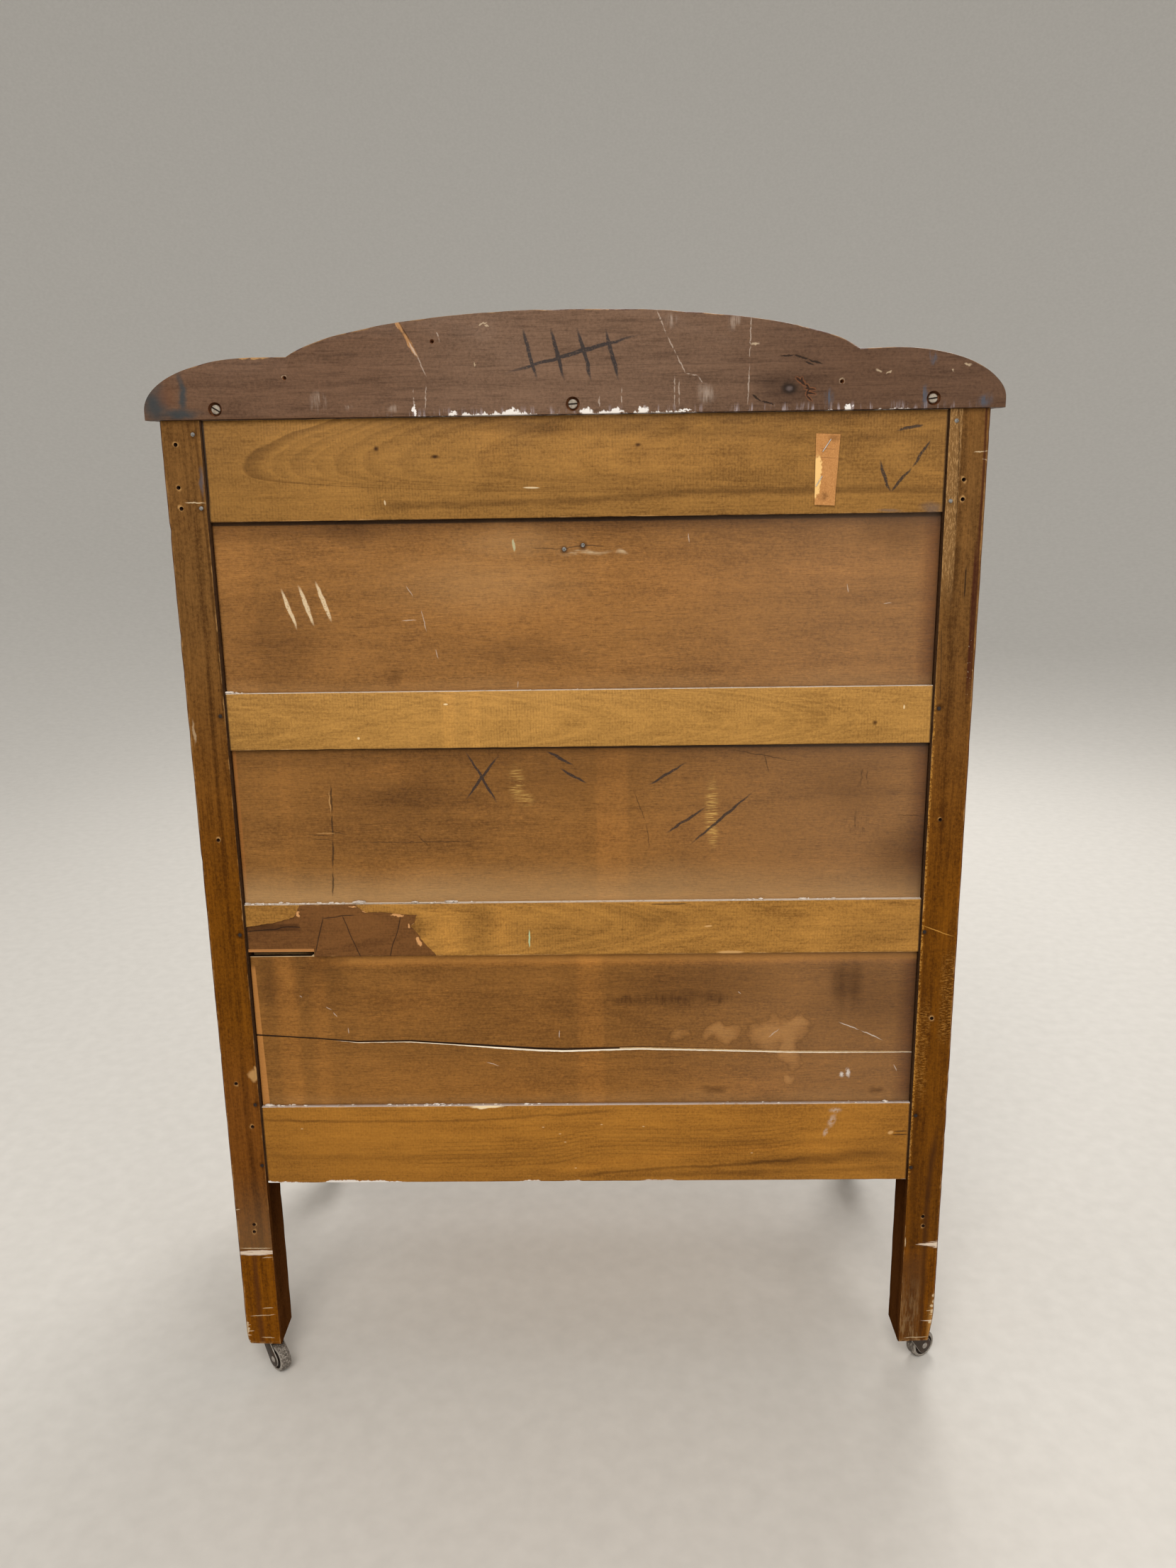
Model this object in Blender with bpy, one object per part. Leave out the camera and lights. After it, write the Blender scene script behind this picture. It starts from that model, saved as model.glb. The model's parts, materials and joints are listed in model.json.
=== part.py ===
"""A chest of four drawers on casters, with a shaped gallery board along the back of its top.

Metres, +Z up. The front faces -Y, and the origin is on the floor under the middle of the object.
Left and right are the chest's own, seen from its front: left is -X and right is +X.
"""

import math

import bmesh
import bpy
from mathutils import Matrix

# Gaps
FIT = 0.0003  # between pieces that touch
PLAY = 0.001  # left at the edges of a panel in its groove
RUNNING_GAP = 0.0015  # beside a drawer
MARGIN = 0.002  # how far a cutter runs past the wood it cuts

# Case
CASE_WIDTH = 0.860  # over the outer faces of the posts
CASE_DEPTH = 0.470
CASE_CLEAR = 0.228  # from the feet up to the lowest rails
POST_WIDTH = 0.0435
POST_DEPTH = 0.052
POST_HEIGHT = 1.118
POST_EASE = 0.0015

# Top and gallery
TOP_THICKNESS = 0.020
TOP_SIDE_OVERHANG = 0.013
TOP_FRONT_OVERHANG = 0.016
TOP_NOSE = 0.004
GALLERY_THICKNESS = 0.019
GALLERY_PROUD = 0.005  # how far it stands behind the rear posts
GALLERY_END_RISE = 0.0086  # straight part of each end
GALLERY_END_LENGTH = 0.116  # rounded part of each end
GALLERY_SHOULDER = 0.0602  # height of the level shoulders
GALLERY_SHOULDER_LENGTH = 0.0344
GALLERY_PEAK = 0.1019  # height of the arch in the middle
GALLERY_ARCH_HIDDEN = 0.0086  # how far the arch's ellipse would run on past its foot
SCREW_SPACING = 0.369
COUNTERBORE_RADIUS = 0.0072
COUNTERBORE_DEPTH = 0.006

# Back frame
BACK_RAIL_THICKNESS = 0.020
BACK_RAIL_INSET = 0.0015
BACK_TOP_RAIL = 0.104
BACK_MIDDLE_RAIL = 0.064
BACK_BOTTOM_RAIL = 0.102
BACK_UPPER_OPENING = 0.1835
BACK_MIDDLE_OPENING = 0.181
BACK_PANEL_THICKNESS = 0.005
BACK_PANEL_RECESS = 0.007
BACK_PANEL_DROP = 0.004  # the lowest panel has slipped down in its grooves
BACK_TENON_LENGTH = 0.024
LIP_BREAK_LENGTH = 0.0765  # broken-out stretch of the lower rail's groove
LIP_BREAK_HEIGHT = 0.006

# Grooves and tenons
GROOVE_DEPTH = 0.008
TENON_THICKNESS = 0.010
TENON_SHOULDER = 0.012
MORTISE_WALL = 0.0085  # wood left between two mortises that meet in a post

# Side frames
SIDE_RAIL_THICKNESS = 0.020
SIDE_RAIL_INSET = 0.004
SIDE_TOP_RAIL = 0.060
SIDE_BOTTOM_RAIL = 0.070
SIDE_PANEL_THICKNESS = 0.006
SIDE_PANEL_RECESS = 0.006
SIDE_TENON_LENGTH = 0.022

# Frames that carry the drawers
FRAME_THICKNESS = 0.021
FACE_SETBACK = 0.001  # of the frames and drawer fronts behind the posts' front faces
APRON_HEIGHT = 0.060
APRON_THICKNESS = 0.021
DIVIDER_DEPTH = 0.055
RUNNER_WIDTH = 0.030
REAR_RAIL_DEPTH = 0.040
FRAME_REAR_GAP = 0.002
FRAME_TENON_SHOULDER = 0.005
FRAME_TENON_INSET = 0.005
FRAME_TENON_WIDTH = 0.012
FRAME_TENON_ROOT = 0.010  # how far a tenon is carried into its frame
GUIDE_HEIGHT = 0.012
GUIDE_GAP = 0.001

# Drawers. The lowest opening takes the height that is left.
TOP_OPENING = 0.157
UPPER_OPENING = 0.180
MIDDLE_OPENING = 0.199
REVEAL = 0.0015  # gap above and below a drawer front
FRONT_THICKNESS = 0.021
FRONT_EASE = 0.001
DOVETAIL_LAP = 0.006  # wood left in front of the dovetails
DOVETAIL_PITCH = 0.032
DOVETAIL_FLARE = 0.0025
LINING_THICKNESS = 0.0125  # drawer sides and backs
SIDE_DROP = 0.005  # sides below the top of the opening
BACK_DROP = 0.006  # backs below the sides
BACK_END = 0.015  # sides run on behind the backs
DADO_DEPTH = 0.004
BOTTOM_THICKNESS = 0.004
BOTTOM_RISE = 0.010
BOTTOM_GROOVE = 0.006
BOTTOM_OVERRUN = 0.003
DRAWER_REAR_CLEARANCE = 0.012

# Drawer knobs
KNOB_SPACING = 0.470
KNOB_REACH = 0.030
KNOB_RADIUS = 0.019
KNOB_HEAD_AT = 0.020
KNOB_NECK_RADIUS = 0.009
KNOB_NECK_AT = 0.010
KNOB_FOOT_RADIUS = 0.013
KNOB_FOOT_HEIGHT = 0.003
SHANK_RADIUS = 0.006
SHANK_LENGTH = 0.016
SHANK_HOLE_SPARE = 0.001

# Casters
CASTER_HEIGHT = 0.044
CASTER_TRAIL = 0.0185
WHEEL_RADIUS = 0.0175
WHEEL_WIDTH = 0.0145
WHEEL_EDGE = 0.002
AXLE_RADIUS = 0.0025
RIVET_RADIUS = 0.004
RIVET_HEIGHT = 0.0012
CHEEK_THICKNESS = 0.0018
CHEEK_GAP = 0.001
CHEEK_RADIUS = 0.010
CHEEK_ROOT = 0.010
CROWN_RADIUS = 0.0145
CROWN_THICKNESS = 0.004
STEM_RADIUS = 0.0047
STEM_LENGTH = 0.034
STEM_GAP = 0.0006
CASTER_ANGLES = {  # direction of each trailing wheel, turned from +X
    "front_left": math.radians(252),
    "front_right": math.radians(284),
    "rear_left": math.radians(209),
    "rear_right": math.radians(136),
}

# Roundness
TURNED_STEPS = 16
WHEEL_STEPS = 28
ARC_STEPS = 10
KNOB_ARC_STEPS = 4

SIDES = {"left": -1, "right": 1}

# Places worked out from the sizes
FOOT_Z = CASTER_HEIGHT
POST_TOP = FOOT_Z + POST_HEIGHT
HALF_CASE = CASE_WIDTH / 2
HALF_OPENING = HALF_CASE - POST_WIDTH


def caster_reach(angle):
    """How far a caster's wheel reaches along +Y from its stem."""
    along = CASTER_TRAIL * math.sin(angle) + WHEEL_RADIUS * abs(math.sin(angle))
    return along + WHEEL_WIDTH / 2 * abs(math.cos(angle))


FRONT_REACH = max(KNOB_REACH - FACE_SETBACK, TOP_FRONT_OVERHANG)
REAR_REACH = max(
    GALLERY_PROUD,
    caster_reach(CASTER_ANGLES["rear_left"]) - POST_DEPTH / 2,
    caster_reach(CASTER_ANGLES["rear_right"]) - POST_DEPTH / 2,
)
FRONT_Y = (FRONT_REACH - CASE_DEPTH - REAR_REACH) / 2
BACK_Y = FRONT_Y + CASE_DEPTH
POST_Y = {"front": (FRONT_Y, FRONT_Y + POST_DEPTH), "rear": (BACK_Y - POST_DEPTH, BACK_Y)}
LOW_Z = FOOT_Z + CASE_CLEAR

# Back rails as (name, bottom, top), from the top down
BACK_TOP_BOTTOM = POST_TOP - BACK_TOP_RAIL
BACK_UPPER_TOP = BACK_TOP_BOTTOM - BACK_UPPER_OPENING
BACK_UPPER_BOTTOM = BACK_UPPER_TOP - BACK_MIDDLE_RAIL
BACK_LOWER_TOP = BACK_UPPER_BOTTOM - BACK_MIDDLE_OPENING
BACK_LOWER_BOTTOM = BACK_LOWER_TOP - BACK_MIDDLE_RAIL
BACK_RAILS = (
    ("back_top_rail", BACK_TOP_BOTTOM, POST_TOP),
    ("back_upper_rail", BACK_UPPER_BOTTOM, BACK_UPPER_TOP),
    ("back_lower_rail", BACK_LOWER_BOTTOM, BACK_LOWER_TOP),
    ("back_bottom_rail", LOW_Z, LOW_Z + BACK_BOTTOM_RAIL),
)
BACK_RAIL_Y = (BACK_Y - BACK_RAIL_INSET - BACK_RAIL_THICKNESS, BACK_Y - BACK_RAIL_INSET)
BACK_TENON_Y = (
    (BACK_RAIL_Y[0] + BACK_RAIL_Y[1] - TENON_THICKNESS) / 2,
    (BACK_RAIL_Y[0] + BACK_RAIL_Y[1] + TENON_THICKNESS) / 2,
)
BACK_PANEL_Y = (
    BACK_RAIL_Y[1] - BACK_PANEL_RECESS - BACK_PANEL_THICKNESS,
    BACK_RAIL_Y[1] - BACK_PANEL_RECESS,
)
BACK_PANELS = tuple(
    (name, lower[2] - GROOVE_DEPTH + PLAY, upper[1] + GROOVE_DEPTH - PLAY - drop)
    for name, upper, lower, drop in zip(
        ("back_panel_upper", "back_panel_middle", "back_panel_lower"),
        BACK_RAILS[:-1],
        BACK_RAILS[1:],
        (0, 0, BACK_PANEL_DROP),
    )
)

# Side frames, as distances from the middle of the case
SIDE_RAIL_X = (HALF_CASE - SIDE_RAIL_INSET - SIDE_RAIL_THICKNESS, HALF_CASE - SIDE_RAIL_INSET)
SIDE_TENON_X = (
    (SIDE_RAIL_X[0] + SIDE_RAIL_X[1] - TENON_THICKNESS) / 2,
    (SIDE_RAIL_X[0] + SIDE_RAIL_X[1] + TENON_THICKNESS) / 2,
)
SIDE_PANEL_X = (
    SIDE_RAIL_X[1] - SIDE_PANEL_RECESS - SIDE_PANEL_THICKNESS,
    SIDE_RAIL_X[1] - SIDE_PANEL_RECESS,
)
SIDE_RAILS = (
    ("side_top_rail", POST_TOP - SIDE_TOP_RAIL, POST_TOP),
    ("side_bottom_rail", LOW_Z, LOW_Z + SIDE_BOTTOM_RAIL),
)
SIDE_PANEL_Z = (SIDE_RAILS[1][2] - GROOVE_DEPTH + PLAY, SIDE_RAILS[0][1] + GROOVE_DEPTH - PLAY)
BETWEEN_POSTS_Y = (POST_Y["front"][1], POST_Y["rear"][0])

# Drawer frames as (name, height of the upper face, height of the front rail)
FRAME_Y = (FRONT_Y + FACE_SETBACK, BACK_RAIL_Y[0] - FRAME_REAR_GAP)
FRAME_TENON_LENGTH = SIDE_TENON_X[0] - HALF_OPENING - MORTISE_WALL
FRAME_FRONT_TENON_Y = (
    FRAME_Y[0] + FRAME_TENON_INSET,
    FRAME_Y[0] + FRAME_TENON_INSET + FRAME_TENON_WIDTH,
)
FRAME_REAR_TENON_Y = (BETWEEN_POSTS_Y[1] + FRAME_TENON_INSET, FRAME_Y[1] - FRAME_TENON_SHOULDER)
FRAME_BOTTOM_TOP = LOW_Z + APRON_HEIGHT
FRAME_TOPS = [POST_TOP]
for height in (TOP_OPENING, UPPER_OPENING, MIDDLE_OPENING):
    FRAME_TOPS.append(FRAME_TOPS[-1] - FRAME_THICKNESS - height)
FRAME_TOPS.append(FRAME_BOTTOM_TOP)
FRAME_NAMES = ("top", "upper", "middle", "lower", "bottom")
RAIL_HEIGHTS = (FRAME_THICKNESS,) * 4 + (APRON_HEIGHT,)
FRAMES = tuple(
    (f"drawer_frame_{name}", top, rail)
    for name, top, rail in zip(FRAME_NAMES, FRAME_TOPS, RAIL_HEIGHTS)
)

# Drawers, in each drawer's own frame: its opening's lower edge, at the face of its front
DRAWER_LENGTH = BACK_RAIL_Y[0] - DRAWER_REAR_CLEARANCE - FRAME_Y[0]
DRAWER_HALF = HALF_OPENING - RUNNING_GAP
INNER_HALF = DRAWER_HALF - LINING_THICKNESS
DRAWER_BACK_Y = (DRAWER_LENGTH - BACK_END - LINING_THICKNESS, DRAWER_LENGTH - BACK_END)
BOTTOM_Z = (BOTTOM_RISE, BOTTOM_RISE + BOTTOM_THICKNESS)


def colour(red, green, blue):
    """A screen colour, 0 to 255 a channel, as the linear colour that a shader takes."""
    linear = []
    for value in (red, green, blue):
        share = value / 255
        linear.append(share / 12.92 if share <= 0.04045 else ((share + 0.055) / 1.055) ** 2.4)
    return (*linear, 1.0)


def finish(name, base, roughness, metallic=0.0):
    material = bpy.data.materials.new(name)
    material.use_nodes = True
    shader = material.node_tree.nodes["Principled BSDF"]
    shader.inputs["Base Color"].default_value = base
    shader.inputs["Roughness"].default_value = roughness
    shader.inputs["Metallic"].default_value = metallic
    material.diffuse_color = base
    return material


def link(name, bm, parent=None):
    """A new object that takes over a bmesh."""
    bmesh.ops.recalc_face_normals(bm, faces=bm.faces)
    mesh = bpy.data.meshes.new(name)
    bm.to_mesh(mesh)
    bm.free()
    made = bpy.data.objects.new(name, mesh)
    made.parent = parent
    bpy.context.scene.collection.objects.link(made)
    return made


def solid(name, bm, material, parent=None, smooth=False):
    made = link(name, bm, parent)
    made.data.materials.append(material)
    if smooth:
        made.data.shade_smooth()
        made.data.set_sharp_from_angle(angle=math.radians(35))
    return made


def boolean(target, label, bm, operation):
    helper = link(f"{target.name}_{label}", bm, target.parent)
    helper.hide_render = True
    helper.display_type = "WIRE"
    modifier = target.modifiers.new(label, "BOOLEAN")
    modifier.operation = operation
    modifier.solver = "EXACT"
    modifier.object = helper


def cut(target, label, bm):
    boolean(target, label, bm, "DIFFERENCE")


def join(target, label, bm):
    boolean(target, label, bm, "UNION")


def empty(name, place, angle=0.0):
    made = bpy.data.objects.new(name, None)
    made.location = place
    made.rotation_euler.z = angle
    bpy.context.scene.collection.objects.link(made)
    return made


def span(sign, near, far):
    """The range between two distances from the middle, on the side that the sign gives."""
    return (min(sign * near, sign * far), max(sign * near, sign * far))


def grown(limits, by):
    return (limits[0] - by, limits[1] + by)


def add_box(bm, *limits):
    """Adds a box between (low, high) limits along X, Y and Z, and returns its vertices."""
    corners = bmesh.ops.create_cube(bm, size=1.0)["verts"]
    bmesh.ops.scale(bm, vec=[high - low for low, high in limits], verts=corners)
    bmesh.ops.translate(bm, vec=[(high + low) / 2 for low, high in limits], verts=corners)
    return corners


def boxes(*all_limits):
    bm = bmesh.new()
    for limits in all_limits:
        add_box(bm, *limits)
    return bm


def eased_box(limits, ease, keep_square, segments=1):
    """A box with its edges eased, apart from those whose middle keep_square picks."""
    bm = boxes(limits)
    edges = []
    for edge in bm.edges:
        middle = (edge.verts[0].co + edge.verts[1].co) / 2
        if not keep_square(middle):
            edges.append(edge)
    bmesh.ops.bevel(
        bm, geom=edges, offset=ease, segments=segments, profile=0.5, affect="EDGES", material=-1
    )
    return bm


def add_prism(bm, outline, limits, place):
    """Adds an outline, swept between two limits. place turns its (a, b) and depth into a point."""
    near, far = limits
    face = bm.faces.new([bm.verts.new(place(a, b, near)) for a, b in outline])
    swept = bmesh.ops.extrude_face_region(bm, geom=[face])["geom"]
    moved = [item for item in swept if isinstance(item, bmesh.types.BMVert)]
    step = [end - start for start, end in zip(place(0, 0, near), place(0, 0, far))]
    bmesh.ops.translate(bm, vec=step, verts=moved)


def along_x(y, z, x):
    return (x, y, z)


def along_y(x, z, y):
    return (x, y, z)


def turned(profile, steps, closed=False):
    """A lathe shape about Z from (radius, height) points. A closed profile makes a ring."""
    bm = bmesh.new()
    points = [bm.verts.new((radius, 0, height)) for radius, height in profile]
    pairs = list(zip(points, points[1:]))
    if closed:
        pairs.append((points[-1], points[0]))
    edges = [bm.edges.new(pair) for pair in pairs]
    bmesh.ops.spin(
        bm,
        geom=points + edges,
        axis=(0, 0, 1),
        cent=(0, 0, 0),
        angle=math.tau,
        steps=steps,
        use_merge=True,
    )
    bmesh.ops.remove_doubles(bm, verts=bm.verts, dist=1e-6)
    return bm


def turn_to_y(bm):
    """Lays a lathe shape down, so that its top faces -Y."""
    bmesh.ops.rotate(bm, cent=(0, 0, 0), matrix=Matrix.Rotation(math.pi / 2, 3, "X"), verts=bm.verts)
    return bm


def cylinder(radius, low, high):
    profile = [(0, low), (radius, low), (radius, high), (0, high)]
    return turned(profile, TURNED_STEPS)


def post(side, end, material):
    sign = SIDES[side]
    x = span(sign, HALF_OPENING, HALF_CASE)
    y = POST_Y[end]
    limits = (x, y, (FOOT_Z, POST_TOP))
    bm = eased_box(limits, POST_EASE, lambda middle: middle.z > POST_TOP - POST_EASE)
    made = solid(f"post_{end}_{side}", bm, material)
    cut(made, "frame_mortises", frame_mortises(sign, end))
    cut(made, "side_mortises", side_mortises(sign, end))
    cut(made, "side_groove", side_groove(sign, end))
    if end == "rear":
        cut(made, "back_mortises", back_mortises(sign))
        cut(made, "back_grooves", back_grooves(sign))
    bore = cylinder(STEM_RADIUS + STEM_GAP, FOOT_Z - MARGIN, FOOT_Z + STEM_LENGTH + MARGIN)
    bmesh.ops.translate(bore, vec=(sum(x) / 2, sum(y) / 2, 0), verts=bore.verts)
    cut(made, "caster_bore", bore)


def frame_tenon_z(top, rail, end):
    height = rail if end == "front" else FRAME_THICKNESS
    return (top - height + FRAME_TENON_SHOULDER, top - FRAME_TENON_SHOULDER)


def frame_mortises(sign, end):
    y = FRAME_FRONT_TENON_Y if end == "front" else FRAME_REAR_TENON_Y
    x = span(sign, HALF_OPENING - MARGIN, HALF_OPENING + FRAME_TENON_LENGTH + FIT)
    return boxes(
        *((x, grown(y, FIT), grown(frame_tenon_z(top, rail, end), FIT)) for _, top, rail in FRAMES)
    )


def into_post(end, depth):
    """The range along Y from the open space between the posts into one of them."""
    if end == "front":
        return (BETWEEN_POSTS_Y[0] - depth, BETWEEN_POSTS_Y[0] + MARGIN)
    return (BETWEEN_POSTS_Y[1] - MARGIN, BETWEEN_POSTS_Y[1] + depth)


def side_mortises(sign, end):
    x = grown(span(sign, *SIDE_TENON_X), FIT)
    y = into_post(end, SIDE_TENON_LENGTH + FIT)
    return boxes(*((x, y, grown(tenon_z(bottom, top), FIT)) for _, bottom, top in SIDE_RAILS))


def side_groove(sign, end):
    x = grown(span(sign, *SIDE_PANEL_X), FIT)
    return boxes((x, into_post(end, GROOVE_DEPTH), grown(SIDE_PANEL_Z, FIT)))


def back_mortises(sign):
    x = span(sign, HALF_OPENING - MARGIN, HALF_OPENING + BACK_TENON_LENGTH + FIT)
    y = grown(BACK_TENON_Y, FIT)
    return boxes(*((x, y, grown(tenon_z(bottom, top), FIT)) for _, bottom, top in BACK_RAILS))


def back_grooves(sign):
    x = span(sign, HALF_OPENING - MARGIN, HALF_OPENING + GROOVE_DEPTH)
    y = grown(BACK_PANEL_Y, FIT)
    return boxes(*((x, y, grown((bottom, top), FIT)) for _, bottom, top in BACK_PANELS))


def tenon_z(bottom, top):
    return (bottom + TENON_SHOULDER, top - TENON_SHOULDER)


def back_rail(name, bottom, top, material):
    bm = boxes((span(1, FIT - HALF_OPENING, HALF_OPENING - FIT), BACK_RAIL_Y, (bottom, top)))
    made = solid(name, bm, material)
    reach = HALF_OPENING + BACK_TENON_LENGTH
    join(made, "tenons", boxes(((-reach, reach), BACK_TENON_Y, tenon_z(bottom, top))))
    grooves = []
    if top < POST_TOP:
        grooves.append((top - GROOVE_DEPTH, top + MARGIN))
    if bottom > LOW_Z:
        grooves.append((bottom - MARGIN, bottom + GROOVE_DEPTH))
    x = (-HALF_OPENING - MARGIN, HALF_OPENING + MARGIN)
    cut(made, "grooves", boxes(*((x, grown(BACK_PANEL_Y, FIT), z) for z in grooves)))
    return made


def break_lip(rail):
    """Breaks the lower lip out of the lower rail's groove at its right end."""
    x = (HALF_OPENING - LIP_BREAK_LENGTH, HALF_OPENING + MARGIN)
    y = (BACK_PANEL_Y[1], BACK_Y + MARGIN)
    z = (BACK_LOWER_BOTTOM - MARGIN, BACK_LOWER_BOTTOM + LIP_BREAK_HEIGHT)
    cut(rail, "lip_break", boxes((x, y, z)))


def back_panel(name, bottom, top, material):
    reach = HALF_OPENING + GROOVE_DEPTH - PLAY
    solid(name, boxes(((-reach, reach), BACK_PANEL_Y, (bottom, top))), material)


def side_frame(side, material, panel_material):
    sign = SIDES[side]
    x = span(sign, *SIDE_RAIL_X)
    for name, bottom, top in SIDE_RAILS:
        body = boxes((x, grown(BETWEEN_POSTS_Y, -FIT), (bottom, top)))
        rail = solid(f"{name}_{side}", body, material)
        tenon_y = grown(BETWEEN_POSTS_Y, SIDE_TENON_LENGTH)
        join(rail, "tenons", boxes((span(sign, *SIDE_TENON_X), tenon_y, tenon_z(bottom, top))))
        z = (bottom - MARGIN, bottom + GROOVE_DEPTH)
        if bottom == LOW_Z:
            z = (top - GROOVE_DEPTH, top + MARGIN)
        groove_x = grown(span(sign, *SIDE_PANEL_X), FIT)
        cut(rail, "groove", boxes((groove_x, grown(BETWEEN_POSTS_Y, MARGIN), z)))
    panel_y = grown(BETWEEN_POSTS_Y, GROOVE_DEPTH - PLAY)
    panel = boxes((span(sign, *SIDE_PANEL_X), panel_y, SIDE_PANEL_Z))
    solid(f"side_panel_{side}", panel, panel_material)


def frame_cells(bm, x_lines, y_lines, z, is_solid):
    """Adds a flat face for each solid cell of a grid, with shared corners."""
    corners = {}
    for x in x_lines:
        for y in y_lines:
            corners[x, y] = bm.verts.new((x, y, z))
    for left, right in zip(x_lines, x_lines[1:]):
        for near, far in zip(y_lines, y_lines[1:]):
            if is_solid((left + right) / 2, (near + far) / 2):
                ring = ((left, near), (right, near), (right, far), (left, far))
                bm.faces.new([corners[point] for point in ring])
    bmesh.ops.delete(bm, geom=[vert for vert in bm.verts if not vert.link_faces], context="VERTS")


def raise_faces(bm, faces, height):
    """Sweeps faces up, with their edges, so that no face is left inside a closed shape."""
    edges = list(dict.fromkeys(edge for face in faces for edge in face.edges))
    swept = bmesh.ops.extrude_face_region(bm, geom=faces + edges)["geom"]
    moved = [item for item in swept if isinstance(item, bmesh.types.BMVert)]
    bmesh.ops.translate(bm, vec=(0, 0, height), verts=moved)


def faces_at(bm, height, is_picked):
    """The level faces at a height whose middle is picked."""
    found = []
    for face in bm.faces:
        middle = face.calc_center_median()
        if abs(middle.z - height) < FIT and is_picked(middle):
            found.append(face)
    return found


def drawer_frame(name, top, rail, material):
    """A front rail, two runners with guides and a rear rail, glued up as one frame."""
    outer = HALF_OPENING - FIT
    inner = outer - RUNNER_WIDTH
    guide = SIDE_RAIL_X[0] - GUIDE_GAP
    wing_y = grown(BETWEEN_POSTS_Y, -FIT)
    hole_y = (FRAME_Y[0] + DIVIDER_DEPTH, FRAME_Y[1] - REAR_RAIL_DEPTH)
    has_guides = top < POST_TOP

    def is_solid(x, y):
        if abs(x) > outer:
            return has_guides and wing_y[0] < y < wing_y[1]
        return abs(x) > inner or not hole_y[0] < y < hole_y[1]

    bm = bmesh.new()
    x_lines = (-guide, -HALF_OPENING, -outer, -inner, inner, outer, HALF_OPENING, guide)
    apron_back = FRAME_Y[0] + APRON_THICKNESS
    y_lines = sorted((*FRAME_Y, *wing_y, *hole_y, apron_back))
    underside = top - FRAME_THICKNESS
    frame_cells(bm, x_lines, y_lines, underside, is_solid)
    raise_faces(bm, bm.faces[:], FRAME_THICKNESS)
    if has_guides:
        raise_faces(bm, faces_at(bm, top, lambda middle: abs(middle.x) > HALF_OPENING), GUIDE_HEIGHT)
    if rail > FRAME_THICKNESS:
        apron = faces_at(bm, underside, lambda middle: middle.y < apron_back)
        raise_faces(bm, apron, FRAME_THICKNESS - rail)
    made = solid(name, bm, material)
    tenons = []
    for sign in SIDES.values():
        x = span(sign, outer - FRAME_TENON_ROOT, HALF_OPENING + FRAME_TENON_LENGTH)
        tenons.append((x, FRAME_FRONT_TENON_Y, frame_tenon_z(top, rail, "front")))
        tenons.append((x, FRAME_REAR_TENON_Y, frame_tenon_z(top, rail, "rear")))
    join(made, "tenons", boxes(*tenons))


def top_board(material):
    x = HALF_CASE + TOP_SIDE_OVERHANG
    rear = BACK_Y + GALLERY_PROUD - GALLERY_THICKNESS - FIT
    low = POST_TOP + FIT
    limits = ((-x, x), (FRONT_Y - TOP_FRONT_OVERHANG, rear), (low, low + TOP_THICKNESS))
    bm = eased_box(limits, TOP_NOSE, lambda middle: middle.y > rear - TOP_NOSE, segments=3)
    solid("top_board", bm, material)


def gallery_outline():
    """Half of the gallery's edge, as (distance from the middle, height), from the end to the peak."""
    half = HALF_CASE + TOP_SIDE_OVERHANG
    end_middle = half - GALLERY_END_LENGTH
    end_height = GALLERY_SHOULDER - GALLERY_END_RISE
    points = [(half, 0)]
    for step in range(ARC_STEPS + 1):
        angle = math.pi / 2 * step / ARC_STEPS
        across = end_middle + GALLERY_END_LENGTH * math.cos(angle)
        points.append((across, GALLERY_END_RISE + end_height * math.sin(angle)))
    foot = end_middle - GALLERY_SHOULDER_LENGTH
    reach = foot + GALLERY_ARCH_HIDDEN
    start = math.acos(foot / reach)
    rise = (GALLERY_PEAK - GALLERY_SHOULDER) / (1 - math.sin(start))
    for step in range(ARC_STEPS + 1):
        angle = start + (math.pi / 2 - start) * step / ARC_STEPS
        points.append((reach * math.cos(angle), GALLERY_PEAK - rise * (1 - math.sin(angle))))
    return points


def gallery(material):
    right = gallery_outline()
    left = [(-across, height) for across, height in reversed(right[:-1])]
    low = POST_TOP + FIT
    outline = [(across, low + height) for across, height in right + left]
    rear = BACK_Y + GALLERY_PROUD
    bm = bmesh.new()
    add_prism(bm, outline, (rear - GALLERY_THICKNESS, rear), along_y)
    made = solid("gallery", bm, material)
    holes = bmesh.new()
    for place in (-SCREW_SPACING, 0, SCREW_SPACING):
        hole = turn_to_y(cylinder(COUNTERBORE_RADIUS, -MARGIN, COUNTERBORE_DEPTH))
        bmesh.ops.translate(hole, vec=(place, rear, low + TOP_THICKNESS / 2), verts=hole.verts)
        scrap = bpy.data.meshes.new("counterbore")
        hole.to_mesh(scrap)
        hole.free()
        holes.from_mesh(scrap)
        bpy.data.meshes.remove(scrap)
    cut(made, "counterbores", holes)


def dovetails(height):
    """The middle of each tail up a drawer side of this height, and a quarter of their pitch."""
    count = max(2, round(height / DOVETAIL_PITCH))
    pitch = height / count
    return [FIT + pitch * (number + 0.5) for number in range(count)], pitch / 4


def tail_half(quarter, y):
    """Half the width of a tail at a depth behind the face of the front."""
    share = (y - DOVETAIL_LAP) / (FRONT_THICKNESS - DOVETAIL_LAP)
    return quarter + DOVETAIL_FLARE * (0.5 - share)


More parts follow.
